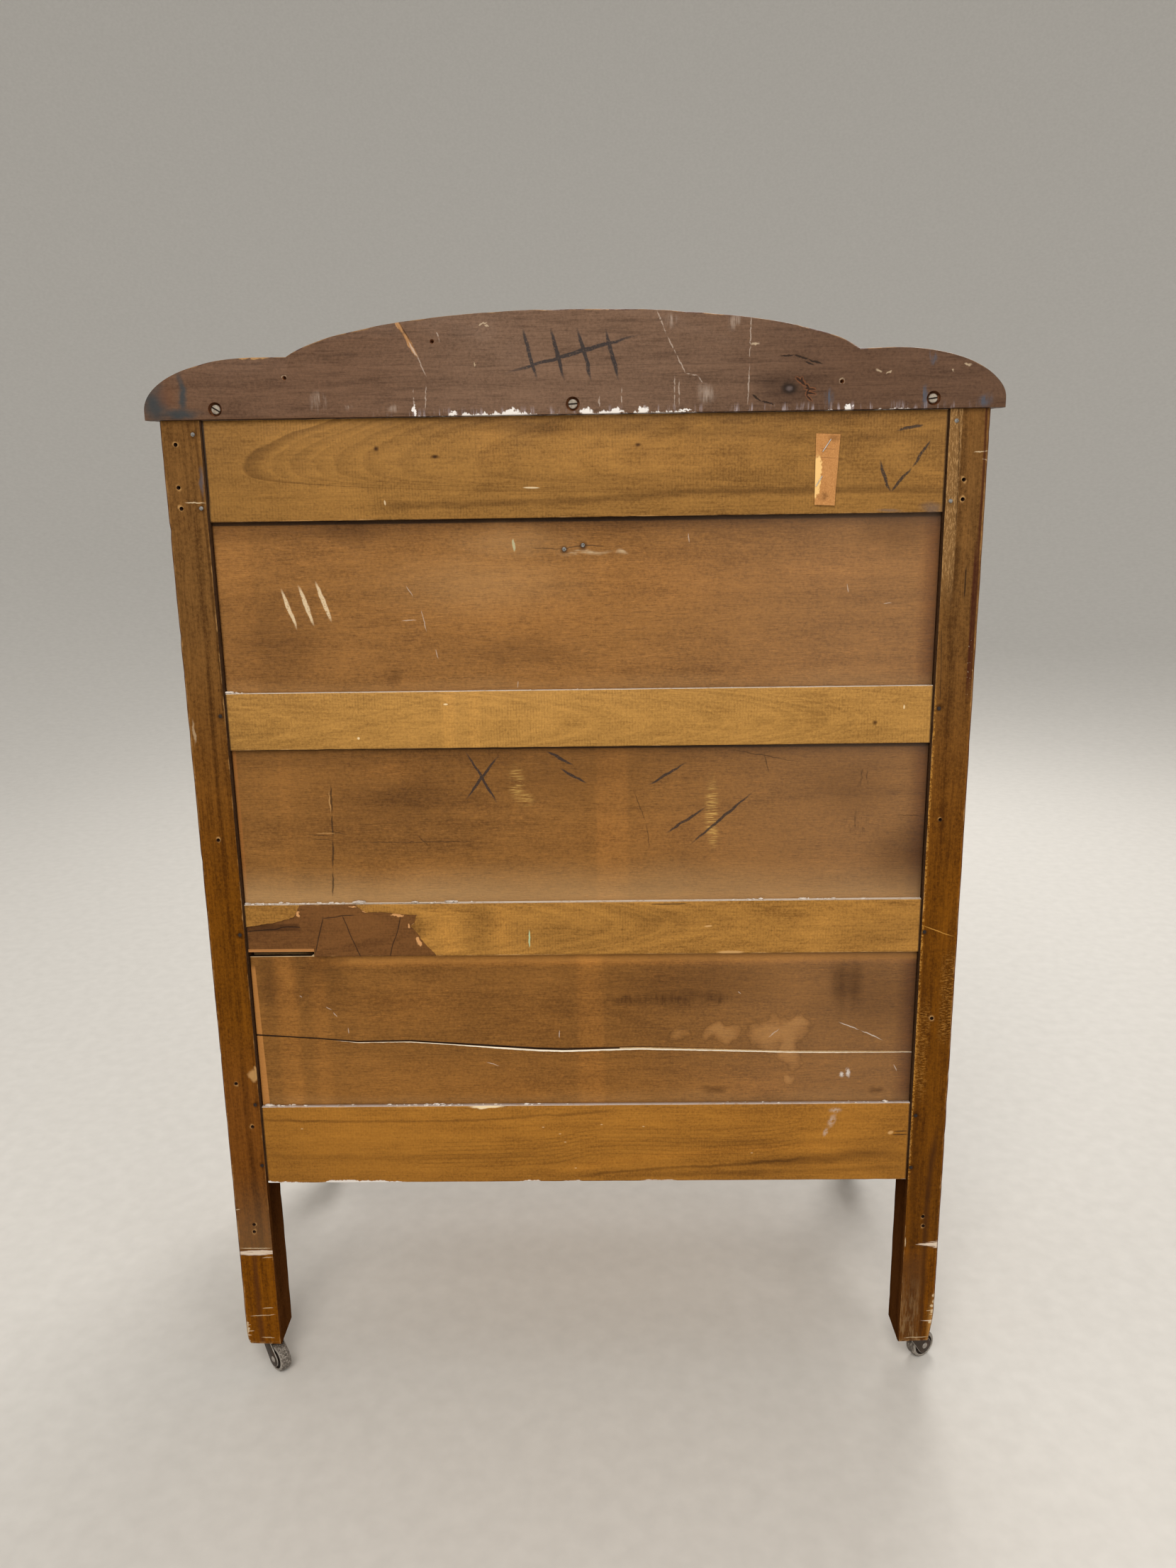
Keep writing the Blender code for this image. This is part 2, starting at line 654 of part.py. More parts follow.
def drawer_front(name, opening, parent, material):
    z = (REVEAL, opening - REVEAL)
    limits = ((-DRAWER_HALF, DRAWER_HALF), (0, FRONT_THICKNESS), z)
    bm = eased_box(limits, FRONT_EASE, lambda middle: middle.y > FRONT_EASE)
    made = solid(f"{name}_front", bm, material, parent)
    middles, quarter = dovetails(opening - SIDE_DROP - FIT)
    deep = DOVETAIL_LAP
    open_end = FRONT_THICKNESS + MARGIN
    for side, sign in SIDES.items():
        sockets = bmesh.new()
        x = span(sign, INNER_HALF - FIT, DRAWER_HALF + MARGIN)
        for middle in middles:
            outline = [
                (deep, middle - tail_half(quarter, deep) - FIT),
                (open_end, middle - tail_half(quarter, open_end) - FIT),
                (open_end, middle + tail_half(quarter, open_end) + FIT),
                (deep, middle + tail_half(quarter, deep) + FIT),
            ]
            add_prism(sockets, outline, x, along_x)
        cut(made, f"sockets_{side}", sockets)
    groove_x = INNER_HALF + BOTTOM_GROOVE
    groove_y = (FRONT_THICKNESS - BOTTOM_GROOVE, FRONT_THICKNESS + MARGIN)
    cut(made, "groove", boxes(((-groove_x, groove_x), groove_y, grown(BOTTOM_Z, FIT))))
    for side, sign in SIDES.items():
        hole = cylinder(SHANK_RADIUS + FIT, -SHANK_LENGTH - SHANK_HOLE_SPARE, MARGIN)
        turn_to_y(hole)
        bmesh.ops.translate(hole, vec=(sign * KNOB_SPACING / 2, 0, sum(z) / 2), verts=hole.verts)
        cut(made, f"knob_hole_{side}", hole)


def drawer_side(name, side, opening, parent, material):
    sign = SIDES[side]
    top = opening - SIDE_DROP
    middles, quarter = dovetails(top - FIT)
    root = FRONT_THICKNESS + FIT
    tip = DOVETAIL_LAP + FIT
    outline = [(DRAWER_LENGTH, FIT), (DRAWER_LENGTH, top), (root, top)]
    for middle in reversed(middles):
        outline.append((root, middle + tail_half(quarter, root)))
        outline.append((tip, middle + tail_half(quarter, tip)))
        outline.append((tip, middle - tail_half(quarter, tip)))
        outline.append((root, middle - tail_half(quarter, root)))
    outline.append((root, FIT))
    bm = bmesh.new()
    add_prism(bm, outline, span(sign, INNER_HALF, DRAWER_HALF), along_x)
    made = solid(f"{name}_side_{side}", bm, material, parent)
    groove_x = span(sign, INNER_HALF - MARGIN, INNER_HALF + BOTTOM_GROOVE)
    groove_y = (-MARGIN, DRAWER_LENGTH + MARGIN)
    cut(made, "groove", boxes((groove_x, groove_y, grown(BOTTOM_Z, FIT))))
    dado_x = span(sign, INNER_HALF - MARGIN, INNER_HALF + DADO_DEPTH)
    cut(made, "dado", boxes((dado_x, grown(DRAWER_BACK_Y, FIT), (sum(BOTTOM_Z) / 2, top + MARGIN))))


def drawer_knob(name, side, opening, parent, material):
    profile = [
        (0, -SHANK_LENGTH),
        (SHANK_RADIUS, -SHANK_LENGTH),
        (SHANK_RADIUS, FIT),
        (KNOB_FOOT_RADIUS, FIT),
    ]
    curve = (
        (KNOB_FOOT_RADIUS, KNOB_FOOT_HEIGHT, KNOB_NECK_RADIUS, KNOB_NECK_AT),
        (KNOB_NECK_RADIUS, KNOB_NECK_AT, KNOB_RADIUS, KNOB_HEAD_AT),
    )
    for radius, height, next_radius, next_height in curve:
        for step in range(KNOB_ARC_STEPS):
            share = step / KNOB_ARC_STEPS
            ease = (1 - math.cos(math.pi * share)) / 2
            profile.append(
                (radius + (next_radius - radius) * ease, height + (next_height - height) * share)
            )
    for step in range(KNOB_ARC_STEPS + 1):
        angle = math.pi / 2 * step / KNOB_ARC_STEPS
        dome = (KNOB_REACH - KNOB_HEAD_AT) * math.sin(angle)
        profile.append((KNOB_RADIUS * math.cos(angle), KNOB_HEAD_AT + dome))
    bm = turn_to_y(turned(profile, TURNED_STEPS))
    made = solid(f"{name}_knob_{side}", bm, material, parent, smooth=True)
    made.location = (SIDES[side] * KNOB_SPACING / 2, 0, opening / 2)


def drawer(number, finishes):
    bottom = FRAME_TOPS[number]
    opening = FRAME_TOPS[number - 1] - FRAME_THICKNESS - bottom
    name = f"drawer_{number}"
    slide = empty(f"{name}_slide", (0, FRAME_Y[0], bottom))
    lining = finishes["lining"]
    drawer_front(name, opening, slide, finishes["stained"])
    for side in SIDES:
        drawer_side(name, side, opening, slide, lining)
        drawer_knob(name, side, opening, slide, finishes["knob"])
    back_x = INNER_HALF + DADO_DEPTH - FIT
    back_z = (BOTTOM_Z[1] + FIT, opening - SIDE_DROP - BACK_DROP)
    solid(f"{name}_back", boxes(((-back_x, back_x), DRAWER_BACK_Y, back_z)), lining, slide)
    sheet_x = INNER_HALF + BOTTOM_GROOVE - PLAY
    sheet_y = (FRONT_THICKNESS - BOTTOM_GROOVE + PLAY, DRAWER_BACK_Y[1] + BOTTOM_OVERRUN)
    solid(f"{name}_bottom", boxes(((-sheet_x, sheet_x), sheet_y, BOTTOM_Z)), lining, slide)


def tangent_angle(point, middle, radius, side):
    """Where a line from a point touches a circle, on the side that +1 or -1 gives."""
    away = (point[0] - middle[0], point[1] - middle[1])
    return math.atan2(away[1], away[0]) + side * math.acos(radius / math.hypot(*away))


def cheek_outline(axle_z):
    """One cheek of the fork, as (along the trail, height): a root under the crown and a round end."""
    root_z = -FIT - CROWN_THICKNESS / 2
    middle = (CASTER_TRAIL, axle_z)
    first = (-CHEEK_ROOT, root_z)
    last = (CHEEK_ROOT, root_z)
    start = tangent_angle(first, middle, CHEEK_RADIUS, 1)
    end = tangent_angle(last, middle, CHEEK_RADIUS, -1)
    sweep = (end - start) % math.tau
    outline = [first]
    for step in range(ARC_STEPS + 1):
        angle = start + sweep * step / ARC_STEPS
        outline.append(
            (middle[0] + CHEEK_RADIUS * math.cos(angle), middle[1] + CHEEK_RADIUS * math.sin(angle))
        )
    outline.append(last)
    return outline


def caster(end, side, finishes):
    corner = f"{end}_{side}"
    place = (SIDES[side] * (HALF_CASE - POST_WIDTH / 2), sum(POST_Y[end]) / 2, FOOT_Z)
    swivel = empty(f"caster_swivel_{corner}", place, CASTER_ANGLES[corner])
    axle_z = WHEEL_RADIUS - CASTER_HEIGHT
    crown = [
        (0, STEM_LENGTH),
        (STEM_RADIUS, STEM_LENGTH),
        (STEM_RADIUS, -FIT),
        (CROWN_RADIUS, -FIT),
        (CROWN_RADIUS, -FIT - CROWN_THICKNESS),
        (0, -FIT - CROWN_THICKNESS),
    ]
    steel = finishes["steel"]
    fork = solid(f"caster_fork_{corner}", turned(crown, TURNED_STEPS), steel, swivel, smooth=True)
    cheek_near = WHEEL_WIDTH / 2 + CHEEK_GAP
    cheek_far = cheek_near + CHEEK_THICKNESS
    cheeks = bmesh.new()
    for sign in SIDES.values():
        add_prism(cheeks, cheek_outline(axle_z), span(sign, cheek_near, cheek_far), along_y)
    join(fork, "cheeks", cheeks)
    sunk = cheek_far - CHEEK_THICKNESS / 2
    axle = [
        (0, -cheek_far - RIVET_HEIGHT),
        (RIVET_RADIUS, -cheek_far - RIVET_HEIGHT),
        (RIVET_RADIUS, -sunk),
        (AXLE_RADIUS, -sunk),
        (AXLE_RADIUS, sunk),
        (RIVET_RADIUS, sunk),
        (RIVET_RADIUS, cheek_far + RIVET_HEIGHT),
        (0, cheek_far + RIVET_HEIGHT),
    ]
    pin = turn_to_y(turned(axle, TURNED_STEPS))
    bmesh.ops.translate(pin, vec=(CASTER_TRAIL, 0, axle_z), verts=pin.verts)
    join(fork, "axle", pin)
    half = WHEEL_WIDTH / 2
    tread = [
        (AXLE_RADIUS + FIT, half),
        (WHEEL_RADIUS - WHEEL_EDGE, half),
        (WHEEL_RADIUS, half - WHEEL_EDGE),
        (WHEEL_RADIUS, WHEEL_EDGE - half),
        (WHEEL_RADIUS - WHEEL_EDGE, -half),
        (AXLE_RADIUS + FIT, -half),
    ]
    wheel = turn_to_y(turned(tread, WHEEL_STEPS, closed=True))
    made = solid(f"caster_wheel_{corner}", wheel, finishes["wheel"], swivel, smooth=True)
    made.location = (CASTER_TRAIL, 0, axle_z)


def make_finishes():
    return {
        "stained": finish("stained wood", colour(92, 58, 38), 0.4),
        "post": finish("post wood", colour(120, 82, 46), 0.6),
        "rail": finish("golden wood", colour(158, 112, 60), 0.6),
        "panel": finish("panel wood", colour(128, 86, 50), 0.6),
        "gallery": finish("dark gallery wood", colour(85, 60, 48), 0.55),
        "lining": finish("drawer wood", colour(190, 160, 115), 0.65),
        "knob": finish("turned wood", colour(72, 44, 30), 0.35),
        "steel": finish("caster steel", colour(78, 72, 68), 0.5, metallic=1.0),
        "wheel": finish("caster wheel", colour(54, 40, 32), 0.6),
    }


def build():
    finishes = make_finishes()
    for end in POST_Y:
        for side in SIDES:
            post(side, end, finishes["post"])
            caster(end, side, finishes)
    for side in SIDES:
        side_frame(side, finishes["stained"], finishes["stained"])
    rails = {}
    for name, bottom, top in BACK_RAILS:
        rails[name] = back_rail(name, bottom, top, finishes["rail"])
    break_lip(rails["back_lower_rail"])
    for name, bottom, top in BACK_PANELS:
        back_panel(name, bottom, top, finishes["panel"])
    for name, top, rail in FRAMES:
        drawer_frame(name, top, rail, finishes["lining"])
    top_board(finishes["stained"])
    gallery(finishes["gallery"])
    for number in range(1, len(FRAMES)):
        drawer(number, finishes)


for leftover in list(bpy.data.objects):
    bpy.data.objects.remove(leftover, do_unlink=True)
build()
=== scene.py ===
"""The look of an old chest of four drawers on casters, photographed from behind.

Metres, +Z up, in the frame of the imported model: the front faces -Y and the back faces +Y.
Left and right are the chest's own, seen from its front: left is -X and right is +X. Marks on the
back are placed as (x, z), so +X is on the left of the photograph.
"""

import json
import math
import random

import bmesh
import bpy
from mathutils import Matrix, Vector, noise


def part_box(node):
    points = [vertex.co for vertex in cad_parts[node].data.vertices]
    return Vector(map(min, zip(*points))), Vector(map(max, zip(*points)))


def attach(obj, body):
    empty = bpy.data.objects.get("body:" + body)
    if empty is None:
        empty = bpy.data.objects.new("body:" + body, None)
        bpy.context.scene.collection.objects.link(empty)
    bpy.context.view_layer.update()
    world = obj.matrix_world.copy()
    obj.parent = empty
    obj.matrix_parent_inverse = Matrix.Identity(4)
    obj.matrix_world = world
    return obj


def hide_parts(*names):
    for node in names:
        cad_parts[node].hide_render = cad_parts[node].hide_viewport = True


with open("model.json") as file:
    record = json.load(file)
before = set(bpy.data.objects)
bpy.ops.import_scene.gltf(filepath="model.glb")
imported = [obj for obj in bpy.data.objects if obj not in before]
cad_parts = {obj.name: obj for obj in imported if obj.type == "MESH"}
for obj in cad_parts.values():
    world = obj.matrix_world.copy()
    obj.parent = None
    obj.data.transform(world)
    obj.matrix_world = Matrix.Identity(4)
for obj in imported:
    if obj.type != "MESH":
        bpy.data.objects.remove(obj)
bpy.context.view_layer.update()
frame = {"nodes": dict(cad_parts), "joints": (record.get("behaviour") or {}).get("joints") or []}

X, Y, Z = range(3)
SIDES = {"left": -1, "right": 1}
DRAWERS = (1, 2, 3, 4)
CLOSE = 1e-4  # two coordinates nearer than this are the same
WELD = 1e-6  # two vertices nearer than this are made one

# Faces of the back, from the frame
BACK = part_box("post_rear_left")[1].y
RAIL_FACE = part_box("back_top_rail")[1].y
PANEL_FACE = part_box("back_panel_upper")[1].y
GALLERY_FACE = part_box("gallery")[1].y
HALF_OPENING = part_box("post_rear_right")[0].x
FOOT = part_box("post_rear_left")[0].z

# Camera, as the photograph was taken
PHOTO_HEIGHT = 2212
FOCAL_PIXELS = 1712.6
SENSOR = 36.0
CAMERA_PLACE = Vector((-0.0306, BACK + 1.308, 1.0965))
CAMERA_PITCH = math.radians(14.07)
CAMERA_ROLL = math.radians(0.854)
CAMERA_YAW = math.radians(-0.911)


def tone(red, green, blue):
    """A screen colour, 0 to 255 a channel, as the linear colour that a shader takes."""
    linear = []
    for value in (red, green, blue):
        share = value / 255
        linear.append(share / 12.92 if share <= 0.04045 else ((share + 0.055) / 1.055) ** 2.4)
    return (*linear, 1.0)


def shades(red, green, blue, spread=1.0):
    """A wood's dark, middle and light tones about a screen colour."""
    middle = tone(red, green, blue)
    dark = [value * (1 - fall * spread) for value, fall in zip(middle, (0.44, 0.48, 0.52))]
    light = [value * (1 + rise * spread) for value, rise in zip(middle, (0.34, 0.36, 0.38))]
    return ((*dark, 1.0), middle, (*light, 1.0))


# Woods, from the photograph where it shows them
GOLDEN_TOP = shades(144, 104, 51, 0.9)
GOLDEN_UPPER = shades(171, 127, 64, 0.8)
GOLDEN_LOWER = shades(163, 117, 54)
GOLDEN_BOTTOM = shades(157, 106, 38, 0.8)
PANEL_UPPER = shades(137, 95, 49, 0.8)
PANEL_MIDDLE = shades(129, 88, 42, 0.8)
PANEL_LOWER = shades(129, 87, 39, 0.8)
POST = shades(106, 73, 36, 1.1)
GALLERY = shades(99, 73, 55, 0.8)
CROSSBAND = shades(110, 72, 36, 0.7)
STAINED = shades(76, 40, 24)
LINING = shades(186, 150, 102)
RAW = tone(196, 152, 96)
TORN = tone(218, 196, 160)
CREAM = tone(236, 214, 172)
# Fine dust, also used for a painted sheen on the upper panel
FINE_DUST_AND_SHEEN = tone(196, 160, 112)
DUST = tone(226, 218, 208)
WHITE = tone(238, 234, 230)
CHALKY = tone(196, 180, 166)
BLUE_STAIN = tone(74, 84, 98)
RED_VARNISH = tone(58, 22, 16)
# Near-black for cracks, splits and soot, also painted as shadow in gaps and under the rails
SOOT_AND_SHADOW = tone(36, 25, 18)
CRAYON = tone(40, 38, 40)

# Tints that multiply what lies under them
# The darkening tint, for grime and also for painted shade under and beside parts
GRIME_AND_SHADE = tone(120, 104, 92)
GLOW = (1.5, 1.46, 1.4, 1)
LOWER_POST_TINT = (1.0, 0.73, 0.13, 1)
LEG_TINT = (1.36, 1.3, 0.5, 1)
GREYER = (1.0, 1.0, 2.6, 1)
BLEACHED = (1.22, 1.32, 1.42, 1)
# Painted shadow at the panels' ends beside the post at -X
PANEL_END_PAINTED_SHADOW = (0.46, 0.33, 0.1, 1)


class Coat:
    """A finish in the making: a material's nodes, laid one call at a time on Object coordinates."""

    def __init__(self, name):
        self.material = bpy.data.materials.new(name)
        self.material.use_nodes = True
        self.tree = self.material.node_tree
        self.shader = self.tree.nodes["Principled BSDF"]
        self.place = self.add("ShaderNodeTexCoord").outputs["Object"]
        self.axes = self.add("ShaderNodeSeparateXYZ", {0: self.place}).outputs
        self.facing = None
        self.colour = None
        self.height = 0
        self.rough = 0.5

    def add(self, kind, feeds=None, **settings):
        node = self.tree.nodes.new(kind)
        for key, value in settings.items():
            setattr(node, key, value)
        for key, value in (feeds or {}).items():
            if isinstance(value, bpy.types.NodeSocket):
                self.tree.links.new(value, node.inputs[key])
            else:
                node.inputs[key].default_value = value
        return node

    def math(self, operation, first, second=0):
        return self.add("ShaderNodeMath", {0: first, 1: second}, operation=operation).outputs[0]

    def times(self, first, *others):
        for other in others:
            first = self.math("MULTIPLY", first, other)
        return first

    def plus(self, first, second):
        return self.math("ADD", first, second)

    def minus(self, first, second):
        return self.math("SUBTRACT", first, second)

    def either(self, masks):
        joined = masks[0]
        for mask in masks[1:]:
            joined = self.math("MAXIMUM", joined, mask)
        return joined

    def mix(self, share, first, second, blend="MIX"):
        feeds = {0: share, 6: first, 7: second}
        return self.add("ShaderNodeMix", feeds, data_type="RGBA", blend_type=blend).outputs[2]

    def stretched(self, scale, shift=0):
        feeds = {"Vector": self.place, "Location": (shift, shift, shift), "Scale": scale}
        return self.add("ShaderNodeMapping", feeds).outputs[0]

    def noise(self, place, scale=1, detail=2, roughness=0.5):
        feeds = {"Vector": place, "Scale": scale, "Detail": detail, "Roughness": roughness}
        return self.add("ShaderNodeTexNoise", feeds).outputs[0]

    def grained(self, along, across, length, shift=0, detail=3, roughness=0.6):
        """Noise drawn out along the grain: so many specks a metre across it and along it."""
        scale = [across, across, across]
        scale[along] = length
        return self.noise(self.stretched(scale, shift), 1, detail, roughness)

    def flecked(self, start, end, scale, detail=2, roughness=0.5):
        """Flecks of noise: 0 where it is at the start and 1 where it is at the end."""
        return self.fade(self.noise(self.place, scale, detail, roughness), start, end)

    def streaky(self, start, end, *grain):
        """Flecks drawn out along the grain."""
        return self.fade(self.grained(*grain), start, end)

    def bands(self, position, detail=3, roughness=0.55):
        """Uneven bands along a number, a new one about every whole step."""
        feeds = {"W": position, "Scale": 1, "Detail": detail, "Roughness": roughness}
        return self.add("ShaderNodeTexNoise", feeds, noise_dimensions="1D").outputs[0]

    def ramp(self, value, *stops):
        made = self.add("ShaderNodeValToRGB", {0: value})
        points = made.color_ramp.elements
        while len(points) < len(stops):
            points.new(0.5)
        for point, (position, shade) in zip(points, stops):
            point.position = position
            point.color = shade
        return made.outputs[0]

    def span(self, value, start, end, low, high):
        return self.add("ShaderNodeMapRange", {0: value, 1: start, 2: end, 3: low, 4: high}).outputs[0]

    def fade(self, value, start, end):
        """0 at the start and 1 at the end, with a soft step between."""
        feeds = {0: value, 1: start, 2: end, 3: 0, 4: 1}
        return self.add("ShaderNodeMapRange", feeds, interpolation_type="SMOOTHSTEP").outputs[0]

    def where(self, axis, start, end):
        """A soft step along an axis."""
        return self.fade(self.axes[axis], start, end)

    def band(self, axis, low, high, soft):
        """1 between two limits along an axis, with soft sides."""
        above = self.where(axis, low - soft, low + soft)
        below = self.where(axis, high + soft, high - soft)
        return self.times(above, below)

    def patch(self, across, up):
        """1 in an oblong on the back, from its (low, high, soft) along X and along Z."""
        return self.times(self.band(X, *across), self.band(Z, *up))

    def warped(self, reach, scale):
        """Object coordinates pushed about by up to a reach, so that stains get ragged rims."""
        feeds = {"Vector": self.place, "Scale": scale, "Detail": 3}
        push = self.add("ShaderNodeTexNoise", feeds).outputs[1]
        centred = self.add("ShaderNodeVectorMath", {0: push, 1: (0.5, 0.5, 0.5)}, operation="SUBTRACT")
        feeds = {0: centred.outputs[0], 1: (4 * reach,) * 3, 2: self.place}
        return self.add("ShaderNodeVectorMath", feeds, operation="MULTIPLY_ADD").outputs[0]

    def spot(self, x, z, half_width, half_height, lean=0, place=None):
        """1 in the middle of an ellipse on the back, falling to 0 at its rim."""
        feeds = {
            "Vector": place or self.place,
            "Location": (x, 0, z),
            "Rotation": (0, lean, 0),
            "Scale": (half_width, 1000, half_height),
        }
        turned = self.add("ShaderNodeMapping", feeds, vector_type="TEXTURE").outputs[0]
        return self.add("ShaderNodeTexGradient", {0: turned}, gradient_type="SPHERICAL").outputs[1]

    def spots(self, places, soft=0.4, place=None):
        return self.either([self.fade(self.spot(*spot, place=place), 0, soft) for spot in places])

    def line(self, start, end, width, place=None):
        """A scratch on the back from one (x, z) to another, thin at both ends."""
        run, rise = end[0] - start[0], end[1] - start[1]
        middle = ((start[0] + end[0]) / 2, (start[1] + end[1]) / 2)
        half = math.hypot(run, rise) / 2 + width / 2
        lean = -math.atan2(rise, run)
        return self.fade(self.spot(*middle, half, width / 2, lean, place), 0, 0.4)

    def lines(self, paths, width, place=None):
        made = []
        for path in paths:
            made += [self.line(start, end, width, place) for start, end in zip(path, path[1:])]
        return self.either(made)

    def path(self, points, along, straight=False):
        """The height of a curve, or of straight runs, drawn through (along, height) points."""
        points = sorted(points)
        start, end = points[0][0], points[-1][0]
        low = min(height for _, height in points) - CLOSE
        high = max(height for _, height in points) + CLOSE
        node = self.add("ShaderNodeFloatCurve", {1: self.span(self.axes[along], start, end, 0, 1)})
        curve = node.mapping.curves[0].points
        while len(curve) < len(points):
            curve.new(0.5, 0.5)
        for point, (run, height) in zip(curve, points):
            point.location = ((run - start) / (end - start), (height - low) / (high - low))
            point.handle_type = "VECTOR" if straight else "AUTO"
        node.mapping.update()
        return self.span(node.outputs[0], 0, 1, low, high)

    def streak(self, points, width, along=X, ragged=0):
        """1 along a curve through (along, height) points, falling to 0 half a width from it."""
        off = self.minus(self.axes[Z if along == X else X], self.path(points, along))
        if ragged:
            uneven = self.minus(self.grained(along, 140, 40), 0.5)
            off = self.plus(off, self.times(uneven, 4 * ragged))
        near = self.fade(self.math("ABSOLUTE", off), width / 2, 0)
        ends = sorted(run for run, _ in points)
        return self.times(near, self.band(along, ends[0], ends[-1], 2 * width))

    def paint(self, mask, shade, share=1, blend="MIX"):
        self.colour = self.mix(self.times(mask, share), self.colour, shade, blend)

    def tint(self, mask, shade, share=1):
        self.paint(mask, shade, share, "MULTIPLY")

    def darken(self, mask, share=1):
        self.tint(mask, GRIME_AND_SHADE, share)

    def lighten(self, mask, share=1):
        self.tint(mask, GLOW, share)

    def press(self, mask, depth):
        self.height = self.minus(self.height, self.times(mask, depth))

    def polish(self, mask, roughness):
        self.rough = self.add("ShaderNodeMix", {0: mask, 2: self.rough, 3: roughness}).outputs[0]

    def looks(self, axis, sign):
        """1 on faces that look along an axis, to the side that the sign gives."""
        if self.facing is None:
            normal = self.add("ShaderNodeNewGeometry").outputs["Normal"]
            self.facing = self.add("ShaderNodeSeparateXYZ", {0: normal}).outputs
        return self.fade(self.times(self.facing[axis], sign), 0.55, 0.8)

    def rim(self, axes, low, high, ragged):
        """The distance from the long edges of a board that runs square to two axes, made uneven."""
        gaps = []
        for axis in axes:
            above = self.minus(self.axes[axis], low[axis])
            gaps.append(self.math("MINIMUM", above, self.minus(high[axis], self.axes[axis])))
        uneven = self.minus(self.noise(self.place, 55, 4, 0.7), 0.5)
        return self.plus(self.math("MAXIMUM", *gaps), self.times(uneven, ragged))

    def dusty_top(self, share, shade=DUST):
        """Dust that lies on faces that look up."""
        patchy = self.flecked(0.2, 0.5, 130, 4, 0.7)
        self.paint(self.times(self.looks(Z, 1), patchy), shade, share)

    def finished(self, bump=0.3, varnish=0, shine=0.12):
        feed = self.tree.links.new
        feed(self.colour, self.shader.inputs["Base Color"])
        uneven = self.times(self.minus(self.noise(self.place, 35, 4, 0.6), 0.5), 0.35)
        feed(self.plus(self.rough, uneven), self.shader.inputs["Roughness"])
        self.shader.inputs["Specular IOR Level"].default_value = shine
        if varnish:
            self.shader.inputs["Coat Weight"].default_value = varnish
            self.shader.inputs["Coat Roughness"].default_value = 0.22
        feeds = {"Height": self.height, "Strength": bump, "Distance": 0.001}
        feed(self.add("ShaderNodeBump", feeds).outputs[0], self.shader.inputs["Normal"])
        return self.material


FLAT_RUN = 0.06  # how far inside the tip an arch has come down to its flat side


def wood(name, along, tones, across=Z, pitch=0.05, tip=None, sway=0.35, shift=0, figure=0.45, fibres=0.5):
    """A board: growth bands, fibres along the grain, pores and clouds of stain.

    A tip (along, across, curve) draws flat-sawn arches that start there and open along the grain, to
    the side that the curve's sign gives; a fourth number is how far below the tip they run flat.
    Without a tip the bands run straight along the board.
    """
    coat = Coat(name)
    run, over = coat.axes[along], coat.axes[across]
    wander = coat.times(coat.minus(coat.grained(along, 7, 1.5, shift), 0.5), 2 * sway)
    if tip:
        start, middle, curve, *flat = tip
        off = coat.minus(over, middle)
        inward = coat.times(coat.minus(run, start), math.copysign(1, curve))
        spread = coat.math("DIVIDE", coat.times(off, off), abs(curve))
        if flat:
            below = coat.math("DIVIDE", coat.math("MINIMUM", off, 0), flat[0])
            above = coat.math("MAXIMUM", off, 0)
            spread = coat.math("DIVIDE", coat.times(above, above), abs(curve))
            spread = coat.plus(spread, coat.times(coat.math("POWER", below, 4), FLAT_RUN))
        field = coat.arch = coat.minus(inward, spread)
    else:
        field = coat.plus(over, coat.times(coat.axes[3 - along - across], 0.6))
    coat.field = coat.plus(coat.math("DIVIDE", field, pitch), wander)
    rings = coat.bands(coat.plus(coat.field, shift))
    fibre = coat.grained(along, 520, 30, shift, 4, 0.7)
    mottle = coat.noise(coat.stretched((330, 330, 330), shift), 1, 3, 0.7)
    cloud = coat.noise(coat.stretched((6, 6, 6), shift), 1, 4, 0.6)
    blotch = coat.grained(along, 60, 14, shift + 3)
    weights = ((rings, figure), (fibre, fibres), (cloud, 0.5), (blotch, 0.6 * fibres), (mottle, 0.7))
    level = 0.5 - 0.5 * sum(weight for _, weight in weights)
    for layer, weight in weights:
        level = coat.plus(level, coat.times(layer, weight))
    coat.level = level
    coat.colour = in_tones(coat, tones)
    pores = coat.streaky(0.6, 0.74, along, 1500, 130, shift, 1)
    coat.darken(pores, 0.32)
    coat.height = coat.minus(fibre, pores)
    return coat


def in_tones(coat, tones):
    dark, middle, light = tones
    return coat.ramp(coat.level, (0.28, dark), (0.5, middle), (0.72, light))


def growth_rings(coat, rings, reach, ragged=0.06):
    """Rings (how far inside the arches, how strong), each crisp outside and fading inwards."""
    wander = coat.times(coat.minus(coat.grained(X, 16, 5), 0.5), ragged)
    field = coat.plus(coat.arch, wander)
    for start, share in rings:
        outer = coat.fade(field, start - 0.003, start + 0.002)
        coat.darken(coat.times(outer, coat.fade(field, start + reach, start)), share)


def saw_marks(coat, along, share, pitch=0.0031):
    """Fine lines left by a band saw, square to the grain and uneven in depth."""
    sway = coat.times(coat.noise(coat.stretched((5, 5, 40))), 5)
    position = coat.times(coat.axes[along], math.tau / pitch)
    ridges = coat.fade(coat.math("SINE", coat.plus(position, sway)), -0.3, 1)
    strength = coat.fade(coat.noise(coat.stretched((9, 9, 26)), 1, 4, 0.7), 0.3, 0.7)
    broken = coat.flecked(0.34, 0.62, 210, 3, 0.7)
    marks = coat.times(ridges, strength, broken)
    coat.darken(marks, share)
    coat.press(marks, 0.5)


